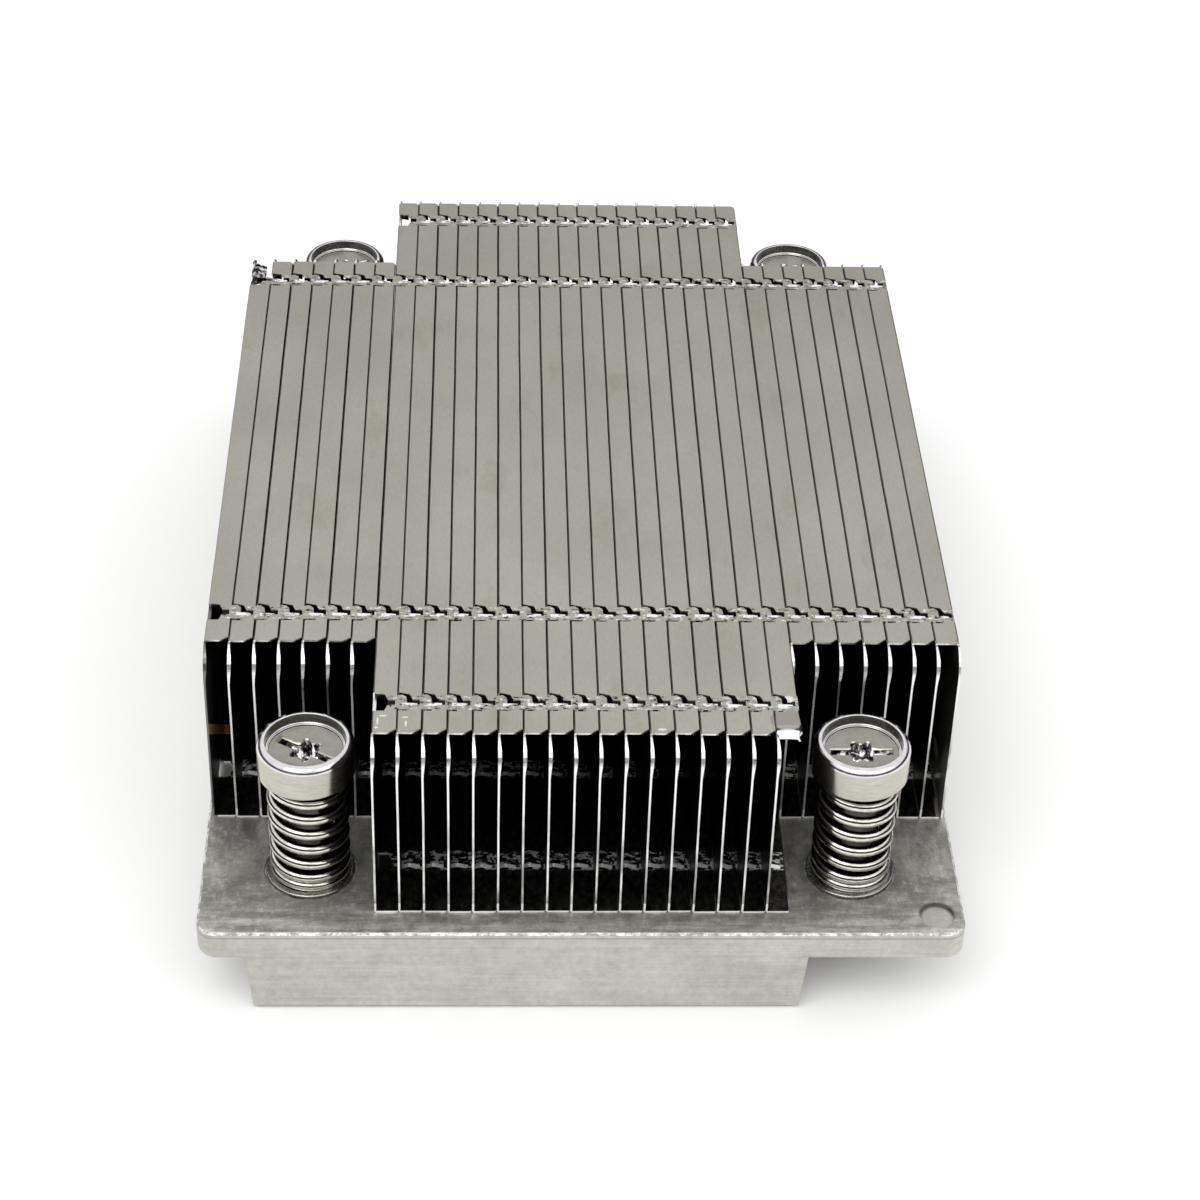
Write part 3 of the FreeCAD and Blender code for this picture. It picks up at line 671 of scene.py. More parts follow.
# Painted shade: the shank under the head is near black.
SHANK_SHADE = plated_material("screw_shank", (0.10, 0.088, 0.085), 0.16, (2.0, 2.0, 2.0))
SPRING_STEEL = spring_material()
WASHER_STEEL = plated_material("washer_steel", (0.50, 0.50, 0.47), 0.2, (2.0, 2.0, 2.0))
CLIP_STEEL = plated_material("clip_steel", (0.30, 0.30, 0.30), 0.3, (2.0, 2.0, 2.0))
print("finishes:", len(bpy.data.materials))

# %% [markdown]
# ## A folded fin
# A real fin is stamped flat, with its windows and tongues, and then folded twice into a
# channel. Boolean cuts in a solid fin would give the windows, but not the bent tongues. So the
# mesh is made as the fin is: a lattice of points runs along the folded section and along the
# fin, cells are left out where the stamping cut them away, and points are moved where an edge
# is slanted or round. Solidify then gives the sheet its thickness.

# %% Sizes of a fin
side_low, side_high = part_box("fin_01")
middle_low, middle_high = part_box("fin_08")
HEIGHT = (side_high[2] - side_low[2]) / MM
SIDE_LENGTH = (side_high[1] - side_low[1]) / MM
MIDDLE_LENGTH = (middle_high[1] - middle_low[1]) / MM
SHEET, THIN_SHEET = 0.3, 0.2
# The sheared edge swells to this thickness, over this stretch below the upper corner. The
# foot and the top keep a fixed share of it.
EDGE_SWELL, SWELL_STRETCH, FLAT_SHARE = 0.38, 3.6, 0.53
BEND = 0.14
SEAM = 0.1
GROOVE_DEPTH, GROOVE_GAP = 0.26, -0.02
FRONT_ROUND, REAR_ROUND = 2.8, 2.0
TAB_CUT, REAR_TAB_CUT, FOOT_CUT = 0.7, 0.3, 0.12
WINDOW = {
    "front": 1.35, "rear": 1.2, "reach": 1.2, "taper": 0.3,
    "slot_half": 0.425, "rim": 0.15, "depth": 0.6,
}
WINDOW_SLANT = 0.35
HANGING_LIP = 0.7
# A tongue's steps: how far each lies past the fin, where its four lengthwise lines run from
# front to rear, and how far they lie below the sheet.
TONGUE_HALF = 1.1
TONGUE = [
    (0.45, (-1.10, -0.50, -0.10, 1.22), (0.04, 0.07, 0.02, 0.03)),
    (0.85, (-1.10, -0.50, -0.10, 0.85), (0.05, 0.08, 0.02, 0.05)),
    (0.95, (-1.10, -0.50, -0.10, -0.04), (0.05, 0.08, 0.02, 0.06)),
    (1.35, (-1.05, -0.50, -0.10, -0.04), (0.06, 0.08, 0.03, 0.08)),
    (1.95, (-0.54, -0.50, -0.14, -0.10), (0.10, 0.10, 0.05, 0.08)),
]
FOOT_TONGUE_RISE = (0.35, 0.5, 0.5, 0.4, 0.25)
FOOT_TONGUE_LINES, FOOT_LIP_DROP = (-1.0, -0.8, 0.5, 1.05), 0.24
# Places in the lattice that are compared lie this near each other or are different.
NEAR = 1e-6
print("pitch", round(FIN_PITCH, 3), "mm, fins", round(SIDE_LENGTH, 1), "and", round(MIDDLE_LENGTH, 1))


# %% The folded section
def section_lines(closing):
    """The fold lines from the foot's free edge round to the top's, as part, x and z. In the
    parts called foot and top the sheet lies flat, in a web it stands."""
    free = FIN_PITCH - (SHEET if closing else 0) - SEAM
    flange = [free, free - WINDOW["rim"], WINDOW["reach"] + WINDOW["taper"], WINDOW["reach"], BEND]
    tongue = [FIN_PITCH + step[0] for step in TONGUE]
    lines = []
    if not closing:
        lines += [("foot_tongue", x, 0) for x in reversed(tongue)]
    lines += [("foot", x, 0) for x in flange]
    heights = [BEND, WINDOW["depth"], 5, 12, 17]
    heights += [HEIGHT - drop for drop in (SWELL_STRETCH, 2.9, 2.2, 1.6, 1.1, WINDOW["depth"], BEND)]
    lines += [("web", 0, z) for z in heights]
    if closing:
        inner = [x for x in reversed(flange) if x < FIN_PITCH - BEND]
        lines += [("top", x, HEIGHT) for x in inner + [FIN_PITCH - BEND]]
        lines += [("far_web", FIN_PITCH, z) for z in [HEIGHT - BEND, 18, 12, 5, 0]]
    else:
        lines += [("top", x, HEIGHT) for x in reversed(flange)]
        lines += [("groove", FIN_PITCH - GROOVE_GAP, HEIGHT)]
        lines += [("top_tongue", x, HEIGHT) for x in tongue]
    return lines


def stations(length, rows):
    """Places along the fin where the lattice needs a line."""
    half = length / 2
    ys = set()
    for row in rows:
        ys.update((row - WINDOW["front"], row + WINDOW["rear"]))
        for step in (TONGUE_HALF, WINDOW["slot_half"]):
            ys.update((row - step, row + step))
    for sign, radius, cut in [(-1, FRONT_ROUND, TAB_CUT), (1, REAR_ROUND, REAR_TAB_CUT)]:
        for i in range(9):
            ys.add(sign * (half - radius + radius * math.sin(math.radians(11.25 * i))))
        ys.update((sign * (half - radius - cut), sign * (half - FOOT_CUT)))
        ys.update((sign * (half - radius - 0.35), sign * (half - radius - 1.4)))
    count = round(length / 6)
    for i in range(1, count):
        y = -half + i * length / count
        if all(abs(y - other) > 2 for other in ys):
            ys.add(y)
    return sorted(ys)


print("lines round the section:", len(section_lines(closing=False)))


# %% Slant and round the lattice
def nearest(y, rows):
    """The lock row that a place along the fin is nearest to."""
    return min(rows, key=lambda row: abs(y - row))


def corner_round(y):
    """The radius of the wall's upper corner at this end."""
    return FRONT_ROUND if y < 0 else REAR_ROUND


def round_limit(y, edge, radius):
    """How far a rounded corner leaves of the last stretch before an edge, 0 to radius."""
    over = max(0.0, abs(y) - (edge - radius))
    return math.sqrt(max(0.0, radius**2 - over**2))


def settle_flange(part, x, y, half, rows):
    """A point in the foot or the top: its free edge is cut back at the ends, and a window
    tapers towards its slot."""
    row = nearest(y, rows)
    off = y - row
    end = half if part == "foot" else half - corner_round(y)
    cut = FOOT_CUT if part == "foot" else TAB_CUT if y < 0 else REAR_TAB_CUT
    x = min(x, FIN_PITCH - SEAM - max(0.0, min(cut, abs(y) - (end - cut))))
    if -WINDOW["front"] < off < WINDOW["rear"] and abs(x - WINDOW["reach"]) < NEAR:
        edge = WINDOW["rear"] if off > 0 else WINDOW["front"]
        x += WINDOW["taper"] * min(1.0, (edge - abs(off)) / (edge - WINDOW["slot_half"]))
    if part == "top" and abs(off - WINDOW["rear"]) < NEAR:
        y += WINDOW_SLANT * max(0.0, 1 - x / WINDOW["reach"])
    return x, y


def settle_tongue(part, x, z, y, row):
    """A point in a tongue: its step and its lengthwise line say where it goes."""
    lines = (-TONGUE_HALF, -WINDOW["slot_half"], WINDOW["slot_half"], TONGUE_HALF)
    step = min(range(len(TONGUE)), key=lambda i: abs(FIN_PITCH + TONGUE[i][0] - x))
    line = min(range(4), key=lambda i: abs(lines[i] - (y - row)))
    if part == "top_tongue":
        return row + TONGUE[step][1][line], z - TONGUE[step][2][line]
    drop = FOOT_LIP_DROP if line == 0 else 0
    return row + FOOT_TONGUE_LINES[line], z + FOOT_TONGUE_RISE[step] - drop


def settle(part, x, z, y, half, rows):
    """The true place of a lattice point, once slanted and round edges are drawn."""
    row = nearest(y, rows)
    off = y - row
    radius = corner_round(y)
    if part.endswith("web") and abs(y) > half - radius + NEAR:
        arc_height = HEIGHT - radius + round_limit(y, half, radius)
        z = arc_height if z > HEIGHT - BEND - NEAR else min(z, arc_height)
    if part == "web" and abs(off - WINDOW["rear"]) < NEAR and z > HEIGHT - WINDOW["depth"] - NEAR:
        y += WINDOW_SLANT
    if part in ("foot", "top"):
        x, y = settle_flange(part, x, y, half, rows)
    if part == "groove":
        cut = TAB_CUT if y < 0 else REAR_TAB_CUT
        if abs(off) > TONGUE_HALF + NEAR:
            z -= GROOVE_DEPTH
        x -= max(0.0, min(cut, abs(y) - (half - radius - cut)))
    if part.endswith("tongue"):
        y, z = settle_tongue(part, x, z, y, row)
    return Vector((x, y, z)) * MM


def is_cut(part_a, part_b, x, z, y, half, rows, plain_rows):
    """Whether the stamping took away the cell round this point."""
    row = nearest(y, rows)
    off = y - row
    in_window = -WINDOW["front"] < off < WINDOW["rear"]
    at_end = abs(y) > half - corner_round(y)
    parts = {part_a, part_b}
    if parts & {"top", "groove", "top_tongue"} and at_end:
        return True
    if parts & {"foot_tongue", "top_tongue"}:
        return abs(off) > TONGUE_HALF or row in plain_rows
    if parts & {"far_web", "groove"}:
        return False
    deep = z < WINDOW["depth"] or z > HEIGHT - WINDOW["depth"]
    if in_window and deep and x < WINDOW["reach"]:
        return True
    flat = parts <= {"foot", "top"}
    return flat and abs(off) < WINDOW["slot_half"] and x < FIN_PITCH - SEAM - WINDOW["rim"]


print("wall corners, mm:", corner_round(-1), "front,", corner_round(1), "rear")

# %% [markdown]
# ## Lips and damage
# Behind each window and slot the punch has bent a narrow lip down. And two fins have had a
# knock: the first one's rear tab is rolled up into a crumpled loop, and the front tab of the
# last long one hangs down and out like an ear. Damage like this is only points moved, so it
# is done on the lattice, before the sheet gets its thickness.


# %% Lips and damage
def hang_lips(shape, grid, lines, ys, rows):
    """Bend a narrow lip down along the rear edge of each window and slot in the top."""
    for row in rows:
        for station, low_x, high_x in [
            (row + WINDOW["rear"], BEND, WINDOW["reach"]),
            (row + WINDOW["slot_half"], WINDOW["reach"], FIN_PITCH - SEAM - WINDOW["rim"]),
        ]:
            j = min(range(len(ys)), key=lambda k: abs(ys[k] - station))
            edge = [
                i for i, (part, x, _) in enumerate(lines)
                if part == "top" and low_x - NEAR <= x <= high_x + NEAR
            ]
            hung = {i: shape.verts.new(grid[i][j].co - Vector((0, 0, HANGING_LIP * MM))) for i in edge}
            for i in edge[:-1]:
                shape.faces.new((grid[i + 1][j], grid[i][j], hung[i], hung[i + 1]))


def roll_ear(shape, half, rows):
    """Bend the front tab down and outwards, as a knock has done on the last middle fin."""
    start = rows[-2] - WINDOW["front"]
    end = FRONT_ROUND - half
    for vertex in shape.verts:
        x, y, z = vertex.co / MM
        if x < BEND / 2 or y > start or y < end - 1e-3 or z < HEIGHT - 0.5:
            continue
        share = (start - y) / (start - end)
        tip = x > FIN_PITCH - SEAM - TAB_CUT - 0.05 and share > 0.95
        x += (0.25 + (TAB_CUT if tip else 0)) * share * x / FIN_PITCH
        curl = max(0.0, (share - 0.5) / 0.5)
        vertex.co = Vector((min(x, FIN_PITCH + 0.2), y + 0.1 * curl, z - 0.75 * curl**1.6)) * MM


def crush_corner(shape, half, rows):
    """Roll up the rear tab, as on the first fin, where the corner was crushed."""
    roll_radius = 0.75
    for vertex in shape.verts:
        x, y, z = vertex.co / MM
        past = y - rows[-1] - 0.2
        if z < HEIGHT - 1.3 or past < 0:
            continue
        share = min(1.0, past / 1.0)
        if x > BEND / 2:
            turn = math.radians(300 * x / FIN_PITCH - 60 + 25 * math.sin(9 * y))
            roll_x = 1.0 + roll_radius * math.sin(turn)
            roll_z = HEIGHT - 0.85 + roll_radius * math.cos(turn)
            x, z = x + (roll_x - x) * share, z + (roll_z - z) * share
        else:
            x, z = x + share * 0.25 * math.sin(5 * y + z), z - share * 0.3
        vertex.co = Vector((max(x, 0), y + 0.12 * math.sin(8 * x), z)) * MM


print("a hanging lip is", HANGING_LIP, "mm long")

# %% [markdown]
# ## From lattice to sheet
# Solidify grows the sheet inwards, so its outer face stays where the CAD has it. A vertex
# group makes it thinner on the walls and fatter just below an upper corner, where shearing
# swells the edge. Each face then gets a number for its finish, which the stack turns into a
# material: plain sheet, sheared edge with painted highlights, the edge of a tab with a painted
# highlight, a seam with painted shade, or lock metal with painted dark specks and glints.

# %% Make a sheet of it
KINDS = {"sheet": 0, "cut edge": 1, "tab edge": 2, "seam": 3, "lock": 4}


def fin_blank(name, length, rows, closing=False, plain_rows=(), damage=None):
    """One folded fin: its outer face as a lattice, then Solidify for the thickness. It has no
    tongues at its plain rows."""
    lines = section_lines(closing)
    ys = stations(length, rows)
    half = length / 2
    shape = bmesh.new()
    grid = [[shape.verts.new(settle(part, x, z, y, half, rows)) for y in ys] for part, x, z in lines]
    for i in range(len(lines) - 1):
        (part_a, xa, za), (part_b, xb, zb) = lines[i], lines[i + 1]
        x, z = (xa + xb) / 2, (za + zb) / 2
        for j in range(len(ys) - 1):
            y = (ys[j] + ys[j + 1]) / 2
            if not is_cut(part_a, part_b, x, z, y, half, rows, plain_rows):
                shape.faces.new((grid[i][j], grid[i + 1][j], grid[i + 1][j + 1], grid[i][j + 1]))
    hang_lips(shape, grid, lines, ys, rows)
    bmesh.ops.remove_doubles(shape, verts=shape.verts, dist=0.004 * MM)
    bmesh.ops.delete(shape, geom=[v for v in shape.verts if not v.link_faces], context="VERTS")
    if damage:
        damage(shape, half, rows)
    mesh = bpy.data.meshes.new(name)
    shape.to_mesh(mesh)
    shape.free()
    return thicken(name, mesh, half, rows)


def edge_kind(face, half, rows):
    """Which of the kinds of finish a face has."""
    x, y, z = face.center / MM
    off = y - nearest(y, rows)
    high = z > HEIGHT - 0.45
    # A foot tongue's lip gets the cut edge's finish, with its painted highlight at the foot.
    if z < 0.9 and x > FIN_PITCH and -1.02 < off < -0.78:
        return KINDS["cut edge"]
    # A top tongue's tip gets the lock finish, with its painted specks and glints.
    if high and x > FIN_PITCH + 0.3 and -0.5 < off < 0.0:
        return KINDS["lock"]
    # Groove walls at a seam get the seam's painted shade.
    in_groove = x > FIN_PITCH - SEAM + 0.01 and abs(off) > TONGUE_HALF
    if high and in_groove and z < HEIGHT - 0.05:
        return KINDS["seam"]
    if face.material_index == 0:
        return KINDS["sheet"]
    on_tab = z > HEIGHT - SHEET - 0.05 and abs(y) < half - corner_round(y) + 0.05
    return KINDS["tab edge"] if on_tab else KINDS["cut edge"]


def swell(z):
    """The sheet's thickness at a height, as a share of EDGE_SWELL: the sheared edge is fattest
    a little below its upper corner."""
    rise = max(0.0, min(1.0, (z - (HEIGHT - SWELL_STRETCH)) / SWELL_STRETCH))
    return (THIN_SHEET + (EDGE_SWELL - THIN_SHEET) * math.sin(math.pi * rise**1.6)) / EDGE_SWELL


def thicken(name, mesh, half, rows):
    """Give a sheet its thickness inwards, and note on each face which finish it gets."""
    sheet = bpy.data.objects.new(name, mesh)
    bpy.context.scene.collection.objects.link(sheet)
    for material in (FIN_SHEET, CUT_EDGE):
        mesh.materials.append(material)
    group = sheet.vertex_groups.new(name="swell")
    for vertex in mesh.vertices:
        x, y, z = vertex.co / MM
        flat = z > HEIGHT - BEND / 2 or z < BEND / 2 or x > BEND
        group.add([vertex.index], FLAT_SHARE if flat else swell(z), "REPLACE")
    solid = sheet.modifiers.new("thickness", "SOLIDIFY")
    solid.thickness = EDGE_SWELL * MM
    solid.offset = -1
    solid.vertex_group = "swell"
    solid.material_offset_rim = 1
    depsgraph = bpy.context.evaluated_depsgraph_get()
    made = bpy.data.meshes.new_from_object(sheet.evaluated_get(depsgraph))
    sheet.modifiers.clear()
    sheet.data = made
    kinds = made.attributes.new("edge_kind", "INT", "FACE")
    for face, kind in zip(made.polygons, kinds.data):
        kind.value = edge_kind(face, half, rows)
    return sheet


print("kinds of finish on a fin:", len(KINDS))


# %% Fold the five different fins
def lock_rows(length):
    """The lock rows of a fin of this length, from its own middle."""
    return [LOCK_INSET_FRONT - length / 2, length / 2 - LOCK_INSET_BACK]


side_rows, middle_rows = lock_rows(SIDE_LENGTH), lock_rows(MIDDLE_LENGTH)
side_fin = fin_blank("side_fin", SIDE_LENGTH, side_rows)
middle_fin = fin_blank("middle_fin", MIDDLE_LENGTH, side_rows + middle_rows)
first_fin = fin_blank("first_fin", SIDE_LENGTH, side_rows, damage=crush_corner)
last_middle_fin = fin_blank(
    "last_middle_fin", MIDDLE_LENGTH, side_rows + middle_rows, plain_rows=middle_rows, damage=roll_ear,
)
closing_fin = fin_blank("closing_fin", SIDE_LENGTH, side_rows, closing=True)
blanks = [first_fin, side_fin, middle_fin, last_middle_fin, closing_fin]
print("faces of a fin:", [len(o.data.polygons) for o in blanks])

# %% [markdown]
# ## The stack
# Geometry Nodes set the fins side by side. One line of points is split in runs of side and
# middle fins, each point gets its fin, and a little noise makes the sheets wave and the seams
# breathe, because no two sheets are folded quite alike. A fixed seed keeps them the same.


# %% Helpers for geometry trees
def new_tree(name, sockets):
    """An empty geometry tree with named inputs and one geometry output."""
    tree = bpy.data.node_groups.new(name, "GeometryNodeTree")
    tree.interface.new_socket("Geometry", in_out="OUTPUT", socket_type="NodeSocketGeometry")
    for socket_name, kind in sockets.items():
        tree.interface.new_socket(socket_name, in_out="INPUT", socket_type="NodeSocket" + kind)
    tree.nodes.new("NodeGroupInput")
    tree.nodes.new("NodeGroupOutput")
    return tree


def math_node(tree, operation, a, b=0.0):
    """One sum on two sockets or values."""
    return put(tree, "ShaderNodeMath", {0: a, 1: b}, operation=operation).outputs[0]


FIN_INPUTS = ["First Fin", "Side Fin", "Middle Fin", "Last Middle Fin", "Closing Fin"]
FINISH_INPUTS = {kind.title(): kind for kind in KINDS}
print("different fins:", len(FIN_INPUTS))


# %% Node tree for the stack
def fin_runs(tree, given):
    """For each kind of fin, which points of the line get it."""
    index = put(tree, "GeometryNodeInputIndex").outputs[0]
    last = math_node(tree, "SUBTRACT", given["Fins"], 1)
    left_end = math_node(tree, "SUBTRACT", given["Side Fins"], 0.5)
    from_left = math_node(tree, "GREATER_THAN", index, left_end)
    right_run = math_node(tree, "SUBTRACT", given["Fins"], given["Side Fins"])
    from_right = math_node(tree, "LESS_THAN", index, right_run)
    last_middle = math_node(tree, "COMPARE", index, math_node(tree, "SUBTRACT", right_run, 1))
    middle = math_node(tree, "MULTIPLY", from_left, from_right)
    closing = math_node(tree, "COMPARE", index, last)
    first = math_node(tree, "COMPARE", index, 0.0)
    outermost = math_node(tree, "ADD", closing, first)
    side = math_node(tree, "SUBTRACT", math_node(tree, "SUBTRACT", 1.0, middle), outermost)
    middle = math_node(tree, "SUBTRACT", middle, last_middle)
    return [first, side, middle, last_middle, closing]


def jittered(tree, line, given):
    """The line of points, each moved a little at random."""
    shift = put(tree, "FunctionNodeRandomValue", {"Seed": given["Seed"]}, data_type="FLOAT_VECTOR")
    shift.inputs["Min"].default_value = (-0.4, -1, -0.05)
    shift.inputs["Max"].default_value = (0.4, 1, 0.0)
    values = {0: shift.outputs["Value"], "Scale": given["Jitter"]}
    moved = put(tree, "ShaderNodeVectorMath", values, operation="SCALE").outputs[0]
    return put(tree, "GeometryNodeSetPosition", {"Geometry": line, "Offset": moved}).outputs[0]


def waved(tree, sheets, given):
    """Real sheets that sway to the left and right with a slow noise."""
    slow = {"Scale": 140.0, "Detail": 1.5, "Roughness": 0.5}
    ripple = put(tree, "ShaderNodeTexNoise", slow, noise_dimensions="3D").outputs["Fac"]
    sway = math_node(tree, "MULTIPLY", math_node(tree, "SUBTRACT", ripple, 0.5), given["Wave"])
    offset = put(tree, "ShaderNodeCombineXYZ", {"X": sway}).outputs[0]
    return put(tree, "GeometryNodeSetPosition", {"Geometry": sheets, "Offset": offset}).outputs[0]


def stack_tree():
    """The tree of the fin stack: place, realize, wave, and give each face its material."""
    sockets = {fin: "Object" for fin in FIN_INPUTS}
    sockets.update({"Fins": "Int", "Side Fins": "Int", "Pitch": "Float", "Start": "Vector"})
    sockets.update({"Wave": "Float", "Jitter": "Float", "Seed": "Int"})
    sockets.update({finish: "Material" for finish in FINISH_INPUTS})
    tree = new_tree("fin_stack", sockets)
    given = tree.nodes["Group Input"].outputs
    step = put(tree, "ShaderNodeCombineXYZ", {"X": given["Pitch"]}).outputs[0]
    line = put(tree, "GeometryNodeMeshLine", {
        "Count": given["Fins"], "Start Location": given["Start"], "Offset": step,
    }).outputs[0]
    runs = fin_runs(tree, given)
    points = jittered(tree, line, given)
    joined = put(tree, "GeometryNodeJoinGeometry")
    for which, fin in zip(runs, FIN_INPUTS):
        source = put(tree, "GeometryNodeObjectInfo", {"Object": given[fin]}).outputs["Geometry"]
        placed = put(tree, "GeometryNodeInstanceOnPoints", {
            "Points": points, "Selection": which, "Instance": source,
        })
        tree.links.new(placed.outputs[0], joined.inputs[0])
    real = put(tree, "GeometryNodeRealizeInstances", {"Geometry": joined.outputs[0]}).outputs[0]
    edged = waved(tree, real, given)
    named = put(tree, "GeometryNodeInputNamedAttribute", {"Name": "edge_kind"}, data_type="INT")
    for finish, kind in FINISH_INPUTS.items():
        chosen = math_node(tree, "COMPARE", named.outputs["Attribute"], KINDS[kind])
        edged = put(tree, "GeometryNodeSetMaterial", {
            "Geometry": edged, "Selection": chosen, "Material": given[finish],
        }).outputs[0]
    tree.links.new(edged, tree.nodes["Group Output"].inputs["Geometry"])
    return tree


def grow(name, tree, values):
    """Run a geometry tree on an empty mesh and keep its result as a plain mesh."""
    maker = bpy.data.objects.new(name, bpy.data.meshes.new(name))
    bpy.context.scene.collection.objects.link(maker)
    modifier = maker.modifiers.new(name, "NODES")
    modifier.node_group = tree
    for item in tree.interface.items_tree:
        if item.in_out == "INPUT" and item.name in values:
            modifier[item.identifier] = values[item.name]
    depsgraph = bpy.context.evaluated_depsgraph_get()
    made = bpy.data.meshes.new_from_object(maker.evaluated_get(depsgraph), depsgraph=depsgraph)
    maker.modifiers.clear()
    maker.data = made
    return maker


fin_stack_tree = stack_tree()
print("nodes in the stack's tree:", len(fin_stack_tree.nodes))

# %% Grow the stack
SIDE_FINS = FINS.index("fin_08")
middle_y = (side_low[1] + side_high[1]) / 2
stack = grow("fin_stack", fin_stack_tree, {
    **dict(zip(FIN_INPUTS, blanks)),
    "Fins": len(FINS), "Side Fins": SIDE_FINS, "Pitch": FIN_PITCH * MM,
    "Start": (side_low[0], middle_y, side_low[2]),
    "Wave": 0.10 * MM, "Jitter": 0.06 * MM, "Seed": 4,
    "Sheet": FIN_SHEET, "Cut Edge": CUT_EDGE, "Tab Edge": TAB_EDGE, "Seam": SEAM_SHADE,
    "Lock": LOCK_SHADE_AND_GLINTS,
})
for blank in blanks:
    bpy.data.objects.remove(blank)
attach(stack, "heatsink")
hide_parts(*FINS)
print("fin stack:", len(stack.data.polygons), "faces")

# %% [markdown]
# ## Springs
# A compression spring is a wire wound on a helix. Its first and last turns lie closed and are
# ground flat. The tree bends a straight line into that helix: the angle grows evenly, and the
# height grows slowly in the closed turns and faster in the open ones. A spring stays on the
# base.

# %% Node tree for a spring
WIRE, SPRING_DIAMETER = 1.1, 8.4
OPEN_TURNS, CLOSED_BELOW, CLOSED_ABOVE = 5.3, 1.7, 0.5
# A closed turn climbs this many wires, so it all but touches the next.
CLOSED_CLIMB = 1.04
WIRE_POINTS, WIRE_SIDES = 260, 14


def wire_side(tree, half_wire):
    """How far a point lies outwards (x) and upwards (z) from the middle of its wire."""
    named = put(tree, "GeometryNodeInputNamedAttribute", {"Name": "wire_middle"}, data_type="FLOAT_VECTOR")
    parts = []
    for spot in (put(tree, "GeometryNodeInputPosition").outputs[0], named.outputs["Attribute"]):
        flat = put(tree, "ShaderNodeVectorMath", {0: spot, 1: (1, 1, 0)}, operation="MULTIPLY").outputs[0]
        reach = put(tree, "ShaderNodeVectorMath", {0: flat}, operation="LENGTH").outputs["Value"]
        parts.append((reach, put(tree, "ShaderNodeSeparateXYZ", {0: spot}).outputs["Z"]))
    (reach, height), (middle_reach, middle_height) = parts
    out = math_node(tree, "DIVIDE", math_node(tree, "SUBTRACT", reach, middle_reach), half_wire)
    up = math_node(tree, "DIVIDE", math_node(tree, "SUBTRACT", height, middle_height), half_wire)
    return put(tree, "ShaderNodeCombineXYZ", {"X": out, "Z": up}).outputs[0]


def coil_place(tree, given):
    """Where each point of a straight line goes on the coil: closed turns at both ends with
    open ones between them."""
    closed_turns = math_node(tree, "ADD", given["Closed Below"], given["Closed Above"])
    turns = math_node(tree, "ADD", given["Open Turns"], closed_turns)
    factor = put(tree, "GeometryNodeSplineParameter").outputs["Factor"]
    along = math_node(tree, "MULTIPLY", factor, turns)
    closed = math_node(tree, "MULTIPLY", given["Wire"], CLOSED_CLIMB)
    closed_rise = math_node(tree, "MULTIPLY", closed, closed_turns)
    open_rise = math_node(tree, "SUBTRACT", given["Length"], closed_rise)
    before = math_node(tree, "MINIMUM", along, given["Closed Below"])
    past = math_node(tree, "MAXIMUM", math_node(tree, "SUBTRACT", along, given["Closed Below"]), 0)
    opened = math_node(tree, "MINIMUM", past, given["Open Turns"])
    after = math_node(tree, "SUBTRACT", past, opened)
    height = math_node(tree, "MULTIPLY", math_node(tree, "ADD", before, after), closed)
    share = math_node(tree, "DIVIDE", opened, given["Open Turns"])
    height = math_node(tree, "ADD", height, math_node(tree, "MULTIPLY", share, open_rise))
    angle = math_node(tree, "ADD", math_node(tree, "MULTIPLY", along, -2 * math.pi), given["Turn"])
    across = math_node(tree, "SUBTRACT", given["Diameter"], given["Wire"])
    radius = math_node(tree, "MULTIPLY", across, 0.5)
    return put(tree, "ShaderNodeCombineXYZ", {
        "X": math_node(tree, "MULTIPLY", math_node(tree, "COSINE", angle), radius),
        "Y": math_node(tree, "MULTIPLY", math_node(tree, "SINE", angle), radius),
        "Z": height,
    }).outputs[0]


def noted(tree, geometry, name, value):
    """The geometry with a vector noted on each of its points."""
    values = {"Geometry": geometry, "Name": name, "Value": value}
    return put(tree, "GeometryNodeStoreNamedAttribute", values, data_type="FLOAT_VECTOR").outputs[0]


def ground_flat(tree, wire, length):
    """Grinding: whatever stands past either end is pressed into its plane."""
    spot = put(tree, "ShaderNodeSeparateXYZ", {0: put(tree, "GeometryNodeInputPosition").outputs[0]})
    level = put(tree, "ShaderNodeClamp", {
        "Value": spot.outputs["Z"], "Min": 0.0, "Max": length,
    }).outputs[0]
    flat = put(tree, "ShaderNodeCombineXYZ", {
        "X": spot.outputs["X"], "Y": spot.outputs["Y"], "Z": level,
    }).outputs[0]
    return put(tree, "GeometryNodeSetPosition", {"Geometry": wire, "Position": flat}).outputs[0]


